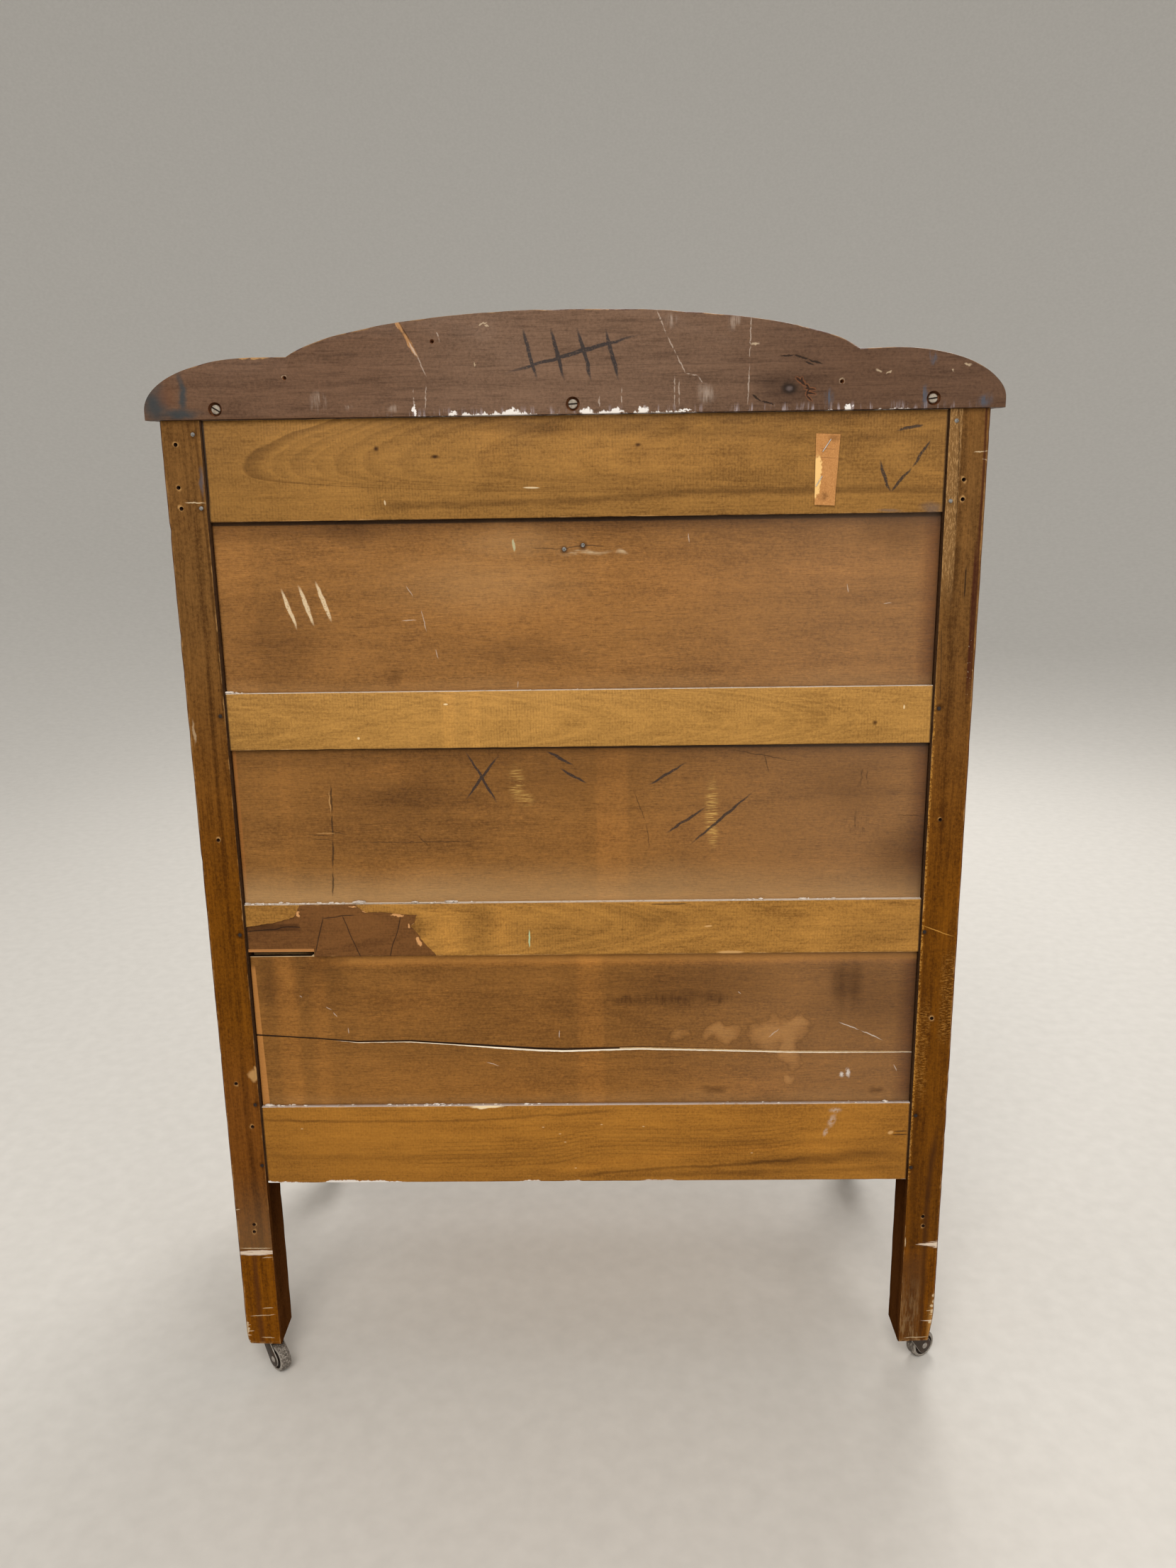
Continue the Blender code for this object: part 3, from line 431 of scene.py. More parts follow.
def wrinkles(coat, shift, share):
    """Fine raised lines in old veneer, that wander along the grain, each painted lighter as a highlight along
    its ridge.
    """
    for across, along in ((60, 7), (110, 16)):
        level = coat.grained(X, across, along, shift, 3)
        line = coat.fade(coat.math("ABSOLUTE", coat.minus(level, 0.5)), 0.01, 0)
        here = coat.fade(coat.noise(coat.stretched((9, 9, 16), shift + across)), 0.42, 0.62)
        line = coat.times(line, here)
        coat.lighten(line, share)
        coat.press(line, -1.2)


def worn_rim(coat, axes, box, reach, share):
    """Pale bare wood here and there along the edges of a board."""
    rim = coat.fade(coat.rim(axes, *box, 0.005), reach, 0.3 * reach)
    patchy = coat.flecked(0.44, 0.58, 23, 4, 0.7)
    coat.paint(coat.times(rim, patchy), RAW, share)


def wedge(coat, start, end, height, half):
    """A rubbed mark across a post: thin at its start along X and widest at its end."""
    along = coat.span(coat.axes[X], start, end, 0, 1)
    brushed = coat.times(coat.minus(coat.grained(X, 900, 60, 0, 4), 0.4), 1.6 * half)
    off = coat.math("ABSOLUTE", coat.minus(coat.axes[Z], height))
    inside = coat.minus(coat.times(along, half), coat.plus(off, brushed))
    return coat.fade(inside, -0.0004, 0.001)


# Marks on the back's posts, by (x, z)
POST_NAILS = {
    "right": (
        (0.396, 1.148), (0.394, 1.073), (0.3935, 0.85), (0.3935, 0.594), (0.3934, 0.378), (0.3916, 0.297),
    ),
    "left": (
        (-0.395, 1.15), (-0.3935, 1.0695), (-0.3936, 0.849), (-0.3914, 0.59), (-0.3932, 0.358),
        (-0.391, 0.289),
    ),
}
POST_HOLES = {
    "right": (
        (0.415, 1.138), (0.416, 1.0945), (0.415, 1.073), (0.4085, 0.708), (0.414, 0.406), (0.399, 0.349),
        (0.408, 0.216), (0.4085, 0.206),
    ),
    "left": (
        (-0.406, 1.091), (-0.406, 1.071), (-0.402, 0.723), (-0.4056, 0.483), (-0.409, 0.222),
        (-0.41, 0.209),
    ),
}
POST_SCUFFS = {
    "right": (
        ((0.386, 0.1828), (0.432, 0.1826)), ((0.388, 0.1705), (0.402, 0.169)),
        ((0.393, 0.098), (0.408, 0.097)), ((0.39, 0.088), (0.425, 0.086)),
        ((0.424, 0.0735), (0.431, 0.073)), ((0.412, 1.079), (0.388, 1.0785)),
        ((0.424, 0.237), (0.43, 0.236)), ((0.42, 0.065), (0.43, 0.064)), ((0.424, 0.058), (0.431, 0.058)),
        ((0.395, 0.054), (0.412, 0.055)), ((0.4295, 0.076), (0.4296, 0.046)),
    ),
    "left": (
        ((-0.42, 0.09), (-0.43, 0.09)), ((-0.424, 0.084), (-0.431, 0.084)),
        ((-0.424, 1.112), (-0.432, 1.109)), ((-0.414, 1.118), (-0.431, 1.12)),
        ((-0.392, 0.0505), (-0.428, 0.0505)), ((-0.3895, 0.18), (-0.3893, 0.193)),
    ),
}


def edge_knocks(side):
    """Chips up the outer edge of a leg, as spots."""
    knocks = []
    for step in range(8):
        if side == "right":
            knocks.append((0.43 - 0.0012 * (step % 2), 0.046 + 0.0042 * step, 0.0034, 0.0026, 0.2 * step))
        else:
            knocks.append((-0.429 + 0.0014 * (step % 3), 0.058 + 0.0075 * step, 0.003, 0.0032, 0.3 * step))
    return knocks


def right_post_marks(coat, ragged):
    """Dark grain, chips and stains on the right post. Returns the mask of a rubbed band across it."""
    coat.darken(coat.streak(((0.85, 0.389), (1, 0.3905), (1.18, 0.3935)), 0.005, Z, 0.001), 0.5)
    leg_grain = ((0.03, 0.41), (0.12, 0.4115), (0.18, 0.411))
    coat.paint(coat.streak(leg_grain, 0.013, Z, 0.0012), tone(74, 40, 16), 0.7)
    coat.darken(coat.streak(((0.18, 0.4), (0.26, 0.402), (0.42, 0.404)), 0.016, Z, 0.0014), 0.3)
    chips = ((0.3925, 0.417, 0.0075, 0.01), (0.3895, 0.424, 0.003, 0.006))
    coat.paint(coat.spots(chips, 0.5, ragged), RAW, 0.7)
    coat.paint(coat.spots(((0.4248, 0.832, 0.0024, 0.018, 0.06),), 0.7, ragged), TORN, 0.35)
    coat.paint(coat.spots(((0.391, 1.1, 0.003, 0.02),), 0.8, ragged), BLUE_STAIN, 0.5)
    grey = coat.times(coat.where(Z, 0.3, 0.19), coat.where(Z, 0.176, 0.184))
    coat.paint(grey, tone(134, 104, 72), 0.35)
    rubbed = coat.lines((((0.38, 0.1772), (0.436, 0.1758)),), 0.0085, coat.warped(0.0004, 160))
    return coat.times(rubbed, coat.streaky(0.22, 0.5, X, 900, 50, 0, 4))


def left_post_marks(coat):
    """Dark grain, a rough-sawn strip and splits. Returns the mask of rubbed wedges across the left post."""
    leg_grain = ((0.04, -0.415), (0.12, -0.414), (0.23, -0.413), (0.305, -0.4165), (0.33, -0.419))
    coat.paint(coat.streak(leg_grain, 0.012, Z, 0.001), tone(58, 32, 12), 0.75)
    inner_grain = ((0.04, -0.398), (0.16, -0.399), (0.28, -0.395), (0.6, -0.3935))
    coat.darken(coat.streak(inner_grain, 0.012, Z, 0.002), 0.35)
    coat.paint(coat.streak(((0.97, -0.4138), (1, -0.4142)), 0.0028, Z, 0.0004), SOOT_AND_SHADOW, 0.9)
    sawn = coat.patch((-0.401, -0.38, 0.0012), (0.985, 1.3, 0.035))
    coat.paint(sawn, tone(130, 97, 58), 0.6)
    rough = coat.noise(coat.stretched((600, 600, 160)), 1, 4, 0.75)
    # Pale flecks on the rough-sawn strip: raw torn fibres, and painted highlights on its rough face
    coat.paint(coat.times(sawn, coat.fade(rough, 0.48, 0.6)), tone(176, 138, 90), 0.7)
    coat.press(coat.times(sawn, rough), 4)
    coat.darken(coat.streak(((1.04, -0.4006), (1.1, -0.4), (1.17, -0.3955)), 0.0013, Z), 0.9)
    split = ((0.86, -0.3942), (0.9, -0.3932), (0.935, -0.3915))
    coat.paint(coat.streak(split, 0.0014, Z, 0.0003), SOOT_AND_SHADOW, 0.8)
    left_post_scrapes(coat)
    wedges = [wedge(coat, -0.397, -0.432, 0.1835, 0.006), wedge(coat, -0.412, -0.433, 0.0752, 0.0024)]
    return coat.either(wedges)


def left_post_scrapes(coat):
    """Where the left post is scraped, rubbed to a gold edge, dusty at its leg and scratched across."""
    rubbed_gold = tone(190, 138, 62)
    outer = coat.patch((-0.436, -0.414, 0.004), (0.455, 0.56, 0.012))
    inner = coat.patch((-0.403, -0.384, 0.004), (0.385, 0.5, 0.02))
    coat.darken(outer, 0.3)
    scraped = coat.streaky(0.48, 0.62, X, 620, 170, 3, 5, 0.7)
    coat.paint(coat.times(coat.either([outer, inner]), scraped), tone(178, 126, 56), 0.55)
    gilt = coat.patch((-0.3905, -0.386, 0.001), (0.27, 0.86, 0.03))
    coat.paint(coat.times(gilt, coat.flecked(0.47, 0.56, 420, 4, 0.75)), rubbed_gold, 0.7)
    inner_half = coat.times(coat.band(X, -0.411, -0.38, 0.003), coat.where(Z, 0.19, 0.15))
    coat.paint(inner_half, tone(84, 54, 28), 0.55)
    streaks = coat.streaky(0.42, 0.66, Z, 420, 60, 2, 4)
    coat.paint(coat.times(inner_half, coat.where(Z, 0.16, 0.06), streaks), tone(150, 122, 84), 0.5)
    worn_side = coat.times(coat.where(X, -0.42, -0.427), coat.where(Z, 0.12, 0.07))
    coat.paint(worn_side, tone(196, 146, 78), 0.6)
    long_scratch = coat.lines((((-0.386, 0.599), (-0.427, 0.583)),), 0.0014, coat.warped(0.0004, 200))
    coat.paint(long_scratch, rubbed_gold, 0.75)


def post_wear(coat, side):
    """What years of knocks left on each rear post."""
    ragged = coat.warped(0.002, 90)
    holes = [(x, z, 0.0036, 0.0044) for x, z in POST_HOLES[side]]
    coat.paint(coat.spots(holes, 0.7, ragged), RAW, 0.65)
    nails = [(x, z, 0.0055, 0.0065) for x, z in POST_NAILS[side]]
    coat.darken(coat.spots(nails, 0.8, ragged), 0.6)
    rubbed = right_post_marks(coat, ragged) if side == "right" else left_post_marks(coat)
    coat.paint(coat.spots(edge_knocks(side), 0.5, ragged), TORN, 0.75)
    coat.paint(rubbed, tone(228, 210, 190), 0.85)
    coat.paint(coat.lines(POST_SCUFFS[side], 0.0015, coat.warped(0.0006, 200)), TORN, 0.6)


def varnish_lap(coat):
    """Dark red varnish that ran round the outer corner of one post, specked low down."""
    lap = coat.patch((-0.4272, -0.4214, 0.0012), (0.868, 1.02, 0.02))
    thin_lap = coat.streak(((1, -0.425), (1.1, -0.4258), (1.17, -0.424)), 0.005, Z, 0.0006)
    drawn = coat.streaky(0.15, 0.5, Z, 420, 9, 3)
    coat.paint(coat.times(coat.either([lap, thin_lap]), drawn), RED_VARNISH, 0.8)
    specks = coat.times(lap, coat.flecked(0.64, 0.7, 380, 3))
    coat.paint(coat.times(specks, coat.where(Z, 0.94, 0.91)), TORN, 0.55)


def back_post_finish(side):
    low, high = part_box(f"post_rear_{side}")
    sign = SIDES[side]
    coat = wood(f"back_post_{side}_wood", Z, POST, X, 0.013, sway=0.7, shift=3 * sign, figure=0.5)
    coat.tint(coat.where(Z, 1, 0.62), LOWER_POST_TINT)
    leg = coat.where(Z, 0.181, 0.174)
    coat.tint(leg, LEG_TINT)
    coat.darken(coat.where(Z, 0.42, 0.19), 0.12)
    if side == "left":
        coat.darken(coat.where(Z, 0.62, 0.45), 0.13)
    else:
        greyer = coat.times(coat.where(Z, 0.52, 0.36), coat.where(Z, 0.18, 0.21))
        coat.tint(greyer, GREYER)
    broad = coat.grained(Z, 130, 3.5, 5 * sign, 4)
    coat.darken(coat.fade(broad, 0.5, 0.72), 0.3)
    coat.lighten(coat.fade(broad, 0.46, 0.26), 0.3)
    coat.rough = 0.55
    coat.polish(leg, 0.4)
    outside = coat.looks(X, sign)
    # The faces that look inwards or to the front, which take painted shade
    inside = coat.either([coat.looks(X, -sign), coat.looks(Y, -1)])
    post_wear(coat, side)
    worn_rim(coat, (X, Y), (low, high), 0.003, 0.55)
    if side == "left":
        varnish_lap(coat)
    # Painted shade along the inner edge above the leg, beside the gap to the panel
    painted_gap_shade = coat.fade(coat.times(coat.axes[X], sign), HALF_OPENING + 0.0016, HALF_OPENING)
    coat.darken(coat.times(painted_gap_shade, coat.where(Z, 0.26, 0.28)), 0.3)
    coat.paint(outside, in_tones(coat, STAINED), 0.92)
    coat.polish(outside, 0.36)
    # Painted shade on the inner and front faces
    coat.paint(inside, tone(56, 32, 12), 0.9)
    foot = coat.where(Z, FOOT + 0.006, FOOT)
    coat.paint(coat.times(foot, coat.flecked(0.42, 0.6, 160, 3)), RAW, 0.6)
    return coat.finished(0.35, shine=0.05)


def shaded_post_finish():
    """The inner faces of the rear posts, painted dark as the shade they stand in, and without any shine."""
    coat = wood("shaded_post_wood", Z, shades(78, 46, 20), X, 0.014, None, 0.7, 6)
    # Painted shade, deepening from the foot up to the top of the leg, and dark above it beside the panels'
    # recess
    coat.darken(coat.where(Z, 0.12, 0.27), 0.45)
    coat.paint(coat.where(Z, 0.27, 0.3), in_tones(coat, shades(60, 42, 28)))
    return coat.finished(0.2, shine=0)


def rail_base(node, tones, tip, shift, saw, figure=0.4, pitch=0.05):
    """Golden wood with saw marks, its ends painted dark as the shadow in the gaps beside the posts, painted
    shade along its lower edge and on faces that look down, and dust on top.
    """
    low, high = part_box(node)
    coat = wood(f"{node}_wood", X, tones, Z, pitch, tip, 0.4, shift, figure, 0.5)
    saw_marks(coat, X, saw)
    coat.rough = 0.58
    # Painted shadow in the gaps at both ends, beside the posts
    ends = coat.fade(coat.math("ABSOLUTE", coat.axes[X]), HALF_OPENING - 0.002, HALF_OPENING - 0.0008)
    coat.paint(ends, SOOT_AND_SHADOW, 0.7)
    coat.darken(coat.fade(coat.math("ABSOLUTE", coat.axes[X]), 0.3, 0.385), 0.08)
    # Painted shade along the lowest 2 mm of the rail
    coat.darken(coat.where(Z, low.z + 0.002, low.z), 0.5)
    worn_rim(coat, (Y, Z), (low, high), 0.0012, 0.5)
    # Painted shade on faces that look down
    coat.darken(coat.looks(Z, -1), 1)
    return coat


def rail_done(coat, dust=DUST):
    coat.paint(coat.looks(Z, 1), FINE_DUST_AND_SHEEN, 0.6)
    outer = coat.where(Y, PANEL_FACE + 0.001, PANEL_FACE + 0.0022)
    patchy = coat.flecked(0.2, 0.5, 130, 4, 0.7)
    coat.paint(coat.times(coat.looks(Z, 1), outer, patchy), dust, 0.9)
    return coat.finished(0.25)


def top_rail_finish():
    coat = rail_base("back_top_rail", GOLDEN_TOP, (0.349, 1.117, -0.0205, 0.021), 0, 0.3, 0.25)
    ragged = coat.warped(0.003, 30)
    rings = (
        (0.002, 0.5), (0.03, 0.2), (0.052, 0.26), (0.076, 0.2), (0.098, 0.26), (0.13, 0.22), (0.17, 0.15),
        (0.25, 0.15),
    )
    growth_rings(coat, rings, 0.03, 0.045)
    coat.darken(coat.where(X, 0.24, 0.36), 0.16)
    low_line = (
        (0.2, 1.0735), (0.059, 1.074), (-0.067, 1.079), (-0.146, 1.083), (-0.3, 1.083), (-0.386, 1.081),
    )
    coat.darken(coat.streak(low_line, 0.014, X, 0.0018), 0.4)
    coat.darken(coat.streak(((0.1, 1.102), (-0.05, 1.098), (-0.25, 1.096)), 0.022, X, 0.003), 0.15)
    coat.darken(coat.streak(((0.1, 1.152), (-0.14, 1.142), (-0.386, 1.134)), 0.018, X, 0.003), 0.25)
    # Painted shadow of the gallery along the top of the rail, away from the +X end
    height_wobble = coat.times(coat.noise(ragged, 30), 0.02)
    painted_gallery_shadow = coat.fade(coat.plus(coat.axes[Z], height_wobble), 1.15, 1.172)
    coat.darken(coat.times(painted_gallery_shadow, coat.where(X, 0.3, 0.12)), 0.35)
    pale = ((0.085, 1.128, 0.03, 0.04), (-0.1, 1.115, 0.18, 0.04), (-0.375, 1.09, 0.03, 0.03))
    coat.lighten(coat.spots(pale, 1, ragged), 0.25)
    pins = ((0.206, 1.131, 0.004, 0.004), (-0.067, 1.131, 0.005, 0.003), (0.145, 1.122, 0.006, 0.003))
    coat.darken(coat.spots(pins, 0.9), 1)
    nicks = (((0.054, 1.0895), (0.036, 1.089)), ((0.2, 1.078), (0.1995, 1.074)))
    coat.paint(coat.lines(nicks, 0.0022), TORN, 0.8)
    stains = ((-0.374, 1.062, 0.016, 0.008), (-0.33, 1.0595, 0.02, 0.003))
    coat.paint(coat.spots(stains, 0.8, ragged), BLUE_STAIN, 0.35)
    # Painted shadow in the gap beside the post at +X
    gap = coat.times(coat.where(X, 0.3836, 0.385), coat.where(Z, 1.06, 1.09))
    coat.paint(gap, SOOT_AND_SHADOW, 0.9)
    crayon_strokes(coat, TOP_RAIL_STROKES, 0.004, 0.85)
    return rail_done(coat)


def upper_rail_finish():
    coat = rail_base("back_upper_rail", GOLDEN_UPPER, (-0.305, 0.838, 0.0085), 4, 0.26, 0.25, 0.03)
    rings = ((0, 0.1), (0.032, 0.16), (0.064, 0.14), (0.098, 0.14), (0.142, 0.14), (0.2, 0.1), (0.27, 0.1))
    growth_rings(coat, rings, 0.024, 0.04)
    figure = ((0.386, 0.826), (0.3, 0.836), (0.22, 0.852), (0.15, 0.868))
    for drop in (0, 0.012, 0.026):
        coat.darken(coat.streak([(x, z - drop) for x, z in figure], 0.004, X, 0.002), 0.14)
    rubbed = [coat.band(X, 0.136, 0.149, 0.003), coat.band(X, 0.108, 0.12, 0.003)]
    coat.lighten(coat.either(rubbed), 0.22)
    coat.darken(coat.spots(((-0.325, 0.834, 0.004, 0.004),), 0.9), 0.9)
    flecks = ((0.243, 0.823, 0.0018, 0.0018), (0.145, 0.86, 0.003, 0.0012), (-0.356, 0.851, 0.001, 0.003))
    coat.paint(coat.spots(flecks, 0.5), CREAM, 0.8)
    return rail_done(coat)


def bottom_rail_finish():
    coat = rail_base("back_bottom_rail", GOLDEN_BOTTOM, None, 12, 0.14, 0.2, 0.018)
    coat.darken(coat.where(X, 0.12, 0.28), 0.1)
    ragged = coat.warped(0.002, 60)
    dark_lines = (
        (((0.386, 0.357), (0.206, 0.354), (0.055, 0.36), (-0.03, 0.366)), 0.006, 0.4),
        (((0.386, 0.31), (0.208, 0.306), (0.06, 0.308)), 0.014, 0.22),
        (((0, 0.28), (-0.063, 0.287), (-0.161, 0.292), (-0.26, 0.301)), 0.007, 0.5),
        (((-0.2, 0.296), (-0.29, 0.301), (-0.34, 0.307), (-0.386, 0.305)), 0.026, 0.5),
        (((-0.05, 0.279), (-0.2, 0.283), (-0.386, 0.288)), 0.012, 0.3),
        (((-0.02, 0.318), (-0.1, 0.326), (-0.24, 0.322), (-0.386, 0.332)), 0.018, 0.14),
    )
    for points, width, share in dark_lines:
        coat.darken(coat.streak(points, width, X, 0.0015), share)
    flowing = ((0.2, 0.292), (0.05, 0.296), (-0.03, 0.309), (-0.14, 0.307), (-0.26, 0.318))
    for rise in range(7):
        raised = [(x, z + 0.0055 * rise) for x, z in flowing]
        coat.darken(coat.streak(raised, 0.0032, X, 0.0006), 0.22)
    pale_line = ((0.03, 0.288), (-0.05, 0.3), (-0.16, 0.312), (-0.3, 0.318))
    coat.lighten(coat.streak(pale_line, 0.018, X, 0.003), 0.3)
    coat.paint(coat.spots(((0.117, 0.3735, 0.025, 0.0035),), 0.5, ragged), CREAM, 0.95)
    coat.paint(coat.spots(((-0.365, 0.335, 0.0045, 0.003, 0.3),), 0.6), RAW, 0.95)
    splits = (((-0.366, 0.332), (-0.386, 0.3325)), ((-0.368, 0.3365), (-0.386, 0.337)))
    coat.paint(coat.lines(splits, 0.0022), SOOT_AND_SHADOW, 0.7)
    rubs = (
        (-0.298, 0.365, 0.01, 0.005), (-0.2945, 0.351, 0.013, 0.006, 1.23),
        (-0.2875, 0.336, 0.008, 0.004, 1.23),
    )
    coat.paint(coat.times(coat.spots(rubs, 0.9), coat.flecked(0.25, 0.6, 300, 3)), CHALKY, 0.55)
    specks = (
        (0.34, 0.345), (0.05, 0.345), (0.03, 0.336), (0.024, 0.325), (0.012, 0.29), (-0.02, 0.348),
        (-0.07, 0.345), (-0.2, 0.309),
    )
    coat.paint(coat.spots([(x, z, 0.0018, 0.0007) for x, z in specks], 0.5), CREAM, 0.5)
    stretches = coat.fade(coat.noise(coat.stretched((11, 11, 2), 3)), 0.42, 0.62)
    reach = coat.plus(0.0035, coat.times(stretches, 0.0065))
    ragged_edge = coat.times(coat.grained(Z, 90, 20, 0, 4), reach)
    above = coat.minus(coat.axes[Z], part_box("back_bottom_rail")[0].z)
    painted = coat.fade(coat.minus(ragged_edge, above), 0.0016, 0.0026)
    thickness = coat.span(coat.where(X, -0.3, 0.3), 0, 1, 0.45, 0.9)
    coat.paint(painted, WHITE, thickness)
    return rail_done(coat, tone(200, 190, 186))


def crayon_strokes(coat, paths, width, share, shade=CRAYON):
    """Plain strokes of a soft crayon that skips over the grain."""
    skips = coat.flecked(0.26, 0.46, 700, 3, 0.6)
    coat.paint(coat.times(coat.lines(paths, width, coat.warped(0.0012, 70)), skips), shade, share)


# Plain tally strokes and ticks in crayon and chalk
TOP_RAIL_STROKES = (
    ((-0.318, 1.112), (-0.33, 1.08), (-0.352, 1.104), (-0.37, 1.132)),
    ((-0.334, 1.142), (-0.362, 1.147)),
)
GALLERY_STROKES = (
    ((0.05, 1.247), (0.036, 1.196)),
    ((0.022, 1.247), (0.008, 1.195)),
    ((-0.006, 1.246), (-0.02, 1.194)),
    ((-0.034, 1.245), (-0.048, 1.194)),
    ((0.072, 1.202), (-0.074, 1.24)),
)
PANEL_CHALK = [
    ((0.318 - step, 0.986 + 0.2 * step), (0.304 - step, 0.944 + 0.2 * step)) for step in (0, 0.019, 0.038)
]
PANEL_STROKES = (
    ((0.127, 0.807), (0.091, 0.743)),
    ((0.089, 0.801), (0.129, 0.749)),
    ((0.036, 0.805), (0.006, 0.788)),
    ((0.022, 0.785), (-0.008, 0.767)),
    ((-0.076, 0.764), (-0.12, 0.79)),
    ((-0.096, 0.708), (-0.142, 0.738)),
    ((-0.121, 0.692), (-0.197, 0.758)),
)


# The rails above and below each panel
PANEL_RAILS = {
    "back_panel_upper": ("back_top_rail", "back_upper_rail"),
    "back_panel_middle": ("back_upper_rail", "back_lower_rail"),
    "back_panel_lower": ("back_lower_rail", "back_bottom_rail"),
}


def panel_base(node, tones, shift, rail_shade_share, shade):
    """Thin brown veneer with fine raised fibres, and painted shadow under and beside the frame.

    The painted shadow under the rail above reaches as far down as its two numbers say, at +X and at -X.
    """
    above, under = PANEL_RAILS[node]
    top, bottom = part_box(above)[0].z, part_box(under)[1].z
    coat = wood(f"{node}_veneer", X, tones, Z, 0.03, None, 1.8, shift, 0.25, 0.5)
    coat.rough = 0.5
    ripple = coat.grained(X, 620, 90, shift, 3)
    coat.darken(coat.fade(ripple, 0.5, 0.75), 0.3)
    coat.lighten(coat.fade(ripple, 0.42, 0.2), 0.3)
    coat.press(coat.fade(ripple, 0.45, 0.7), 1.2)
    wrinkles(coat, shift, 0.45)
    height_wobble = coat.times(coat.noise(coat.stretched((8, 8, 16), shift)), 0.03)
    wobbly_height = coat.plus(coat.axes[Z], height_wobble)
    # Painted shade, deepening towards the rail above
    coat.darken(coat.fade(wobbly_height, top - 0.02, top + 0.014), rail_shade_share)
    # Painted shadow under the rail above, deeper towards -X, and softer painted shade below it, stronger
    # towards -X
    depth = coat.span(coat.axes[X], HALF_OPENING, -HALF_OPENING, *shade)
    below = coat.minus(coat.minus(top, coat.axes[Z]), depth)
    coat.paint(coat.fade(below, 0.0008, -0.0008), SOOT_AND_SHADOW, 0.82)
    coat.darken(coat.times(coat.fade(below, 0.012, 0), coat.where(X, 0.3, -0.3)), 0.4)
    # Painted shadow at the end beside the post at -X
    painted_end_shadow = coat.where(X, 0.026 - HALF_OPENING, 0.003 - HALF_OPENING)
    coat.tint(painted_end_shadow, PANEL_END_PAINTED_SHADOW)
    # Painted shade within 2 mm of both sides, beside the posts
    sides = coat.math("ABSOLUTE", coat.axes[X])
    coat.darken(coat.fade(sides, HALF_OPENING - 0.002, HALF_OPENING), 0.4)
    coat.paint(coat.where(X, 0, -0.34), tone(146, 118, 96), 0.2)
    coat.paint(coat.fade(wobbly_height, bottom + 0.035, bottom + 0.012), FINE_DUST_AND_SHEEN, 0.12)
    return coat


def stripe(coat, low, high, share, soft=0.004):
    """A paler upright stripe, where something stood against the veneer."""
    uneven = coat.span(coat.noise(coat.stretched((20, 20, 9))), 0.3, 0.7, 0.4, 1)
    coat.lighten(coat.times(coat.band(X, low, high, soft), uneven), share)


def upper_panel_finish():
    coat = panel_base("back_panel_upper", PANEL_UPPER, 2, 0.45, (0.004, 0.0045))
    ragged = coat.warped(0.004, 40)
    fine = coat.warped(0.0006, 160)
    stripe(coat, 0.348, 0.39, 0.3)
    stripe(coat, -0.39, -0.365, 0.3)
    clouds = (
        (0.242, 1.046, 0.05, 0.022), (0.2, 0.889, 0.012, 0.016), (0.06, 0.915, 0.11, 0.025),
        (-0.34, 1.035, 0.06, 0.03), (0.33, 0.93, 0.09, 0.08),
    )
    coat.darken(coat.spots(clouds, 1, ragged), 0.34)
    # Painted sheen in the middle of the panel
    painted_sheen = ((0.07, 1.03, 0.1, 0.03), (0.1, 0.99, 0.16, 0.05))
    coat.paint(coat.spots(painted_sheen, 1, ragged), FINE_DUST_AND_SHEEN, 0.16)
    pale = (
        (0.06, 0.97, 0.16, 0.09), (-0.1, 0.99, 0.16, 0.05), (-0.27, 1, 0.09, 0.035),
        (-0.03, 0.994, 0.07, 0.035),
    )
    coat.lighten(coat.spots(pale, 1, ragged), 0.3)
    scratches = (
        ((0.183, 0.989), (0.176, 0.976)), ((0.168, 0.964), (0.163, 0.938)), ((0.154, 0.92), (0.152, 0.909)),
        ((0.19, 0.951), (0.173, 0.9515)), ((0.0655, 0.884), (0.066, 0.876)),
        ((-0.12, 1.04), (-0.121, 1.03)), ((-0.29, 0.985), (-0.292, 0.975)),
        ((-0.33, 0.963), (-0.339, 0.9635)),
    )
    coat.paint(coat.lines(scratches, 0.0012, fine), CHALKY, 0.55)
    coat.paint(coat.lines((((0.066, 1.036), (0.0655, 1.024)),), 0.0036, fine), tone(190, 196, 160), 0.6)
    smears = ((-0.012, 1.0205, 0.036, 0.0036), (0, 1.021, 0.012, 0.005), (-0.05, 1.0195, 0.008, 0.004))
    streaks = coat.streaky(0.3, 0.6, X, 300, 50)
    coat.paint(coat.times(coat.spots(smears, 0.9, ragged), streaks), TORN, 0.5)
    split = ((0.05, 1.0265), (0.012, 1.0255), (-0.008, 1.029), (-0.035, 1.0275))
    coat.paint(coat.lines((split,), 0.0014, fine), SOOT_AND_SHADOW, 0.6)
    coat.darken(coat.spots(((0.012, 1.0245, 0.006, 0.006), (-0.008, 1.028, 0.0065, 0.007)), 0.8), 0.9)
    crayon_strokes(coat, PANEL_CHALK, 0.0056, 0.8, tone(222, 200, 164))
    return coat.finished(0.25)


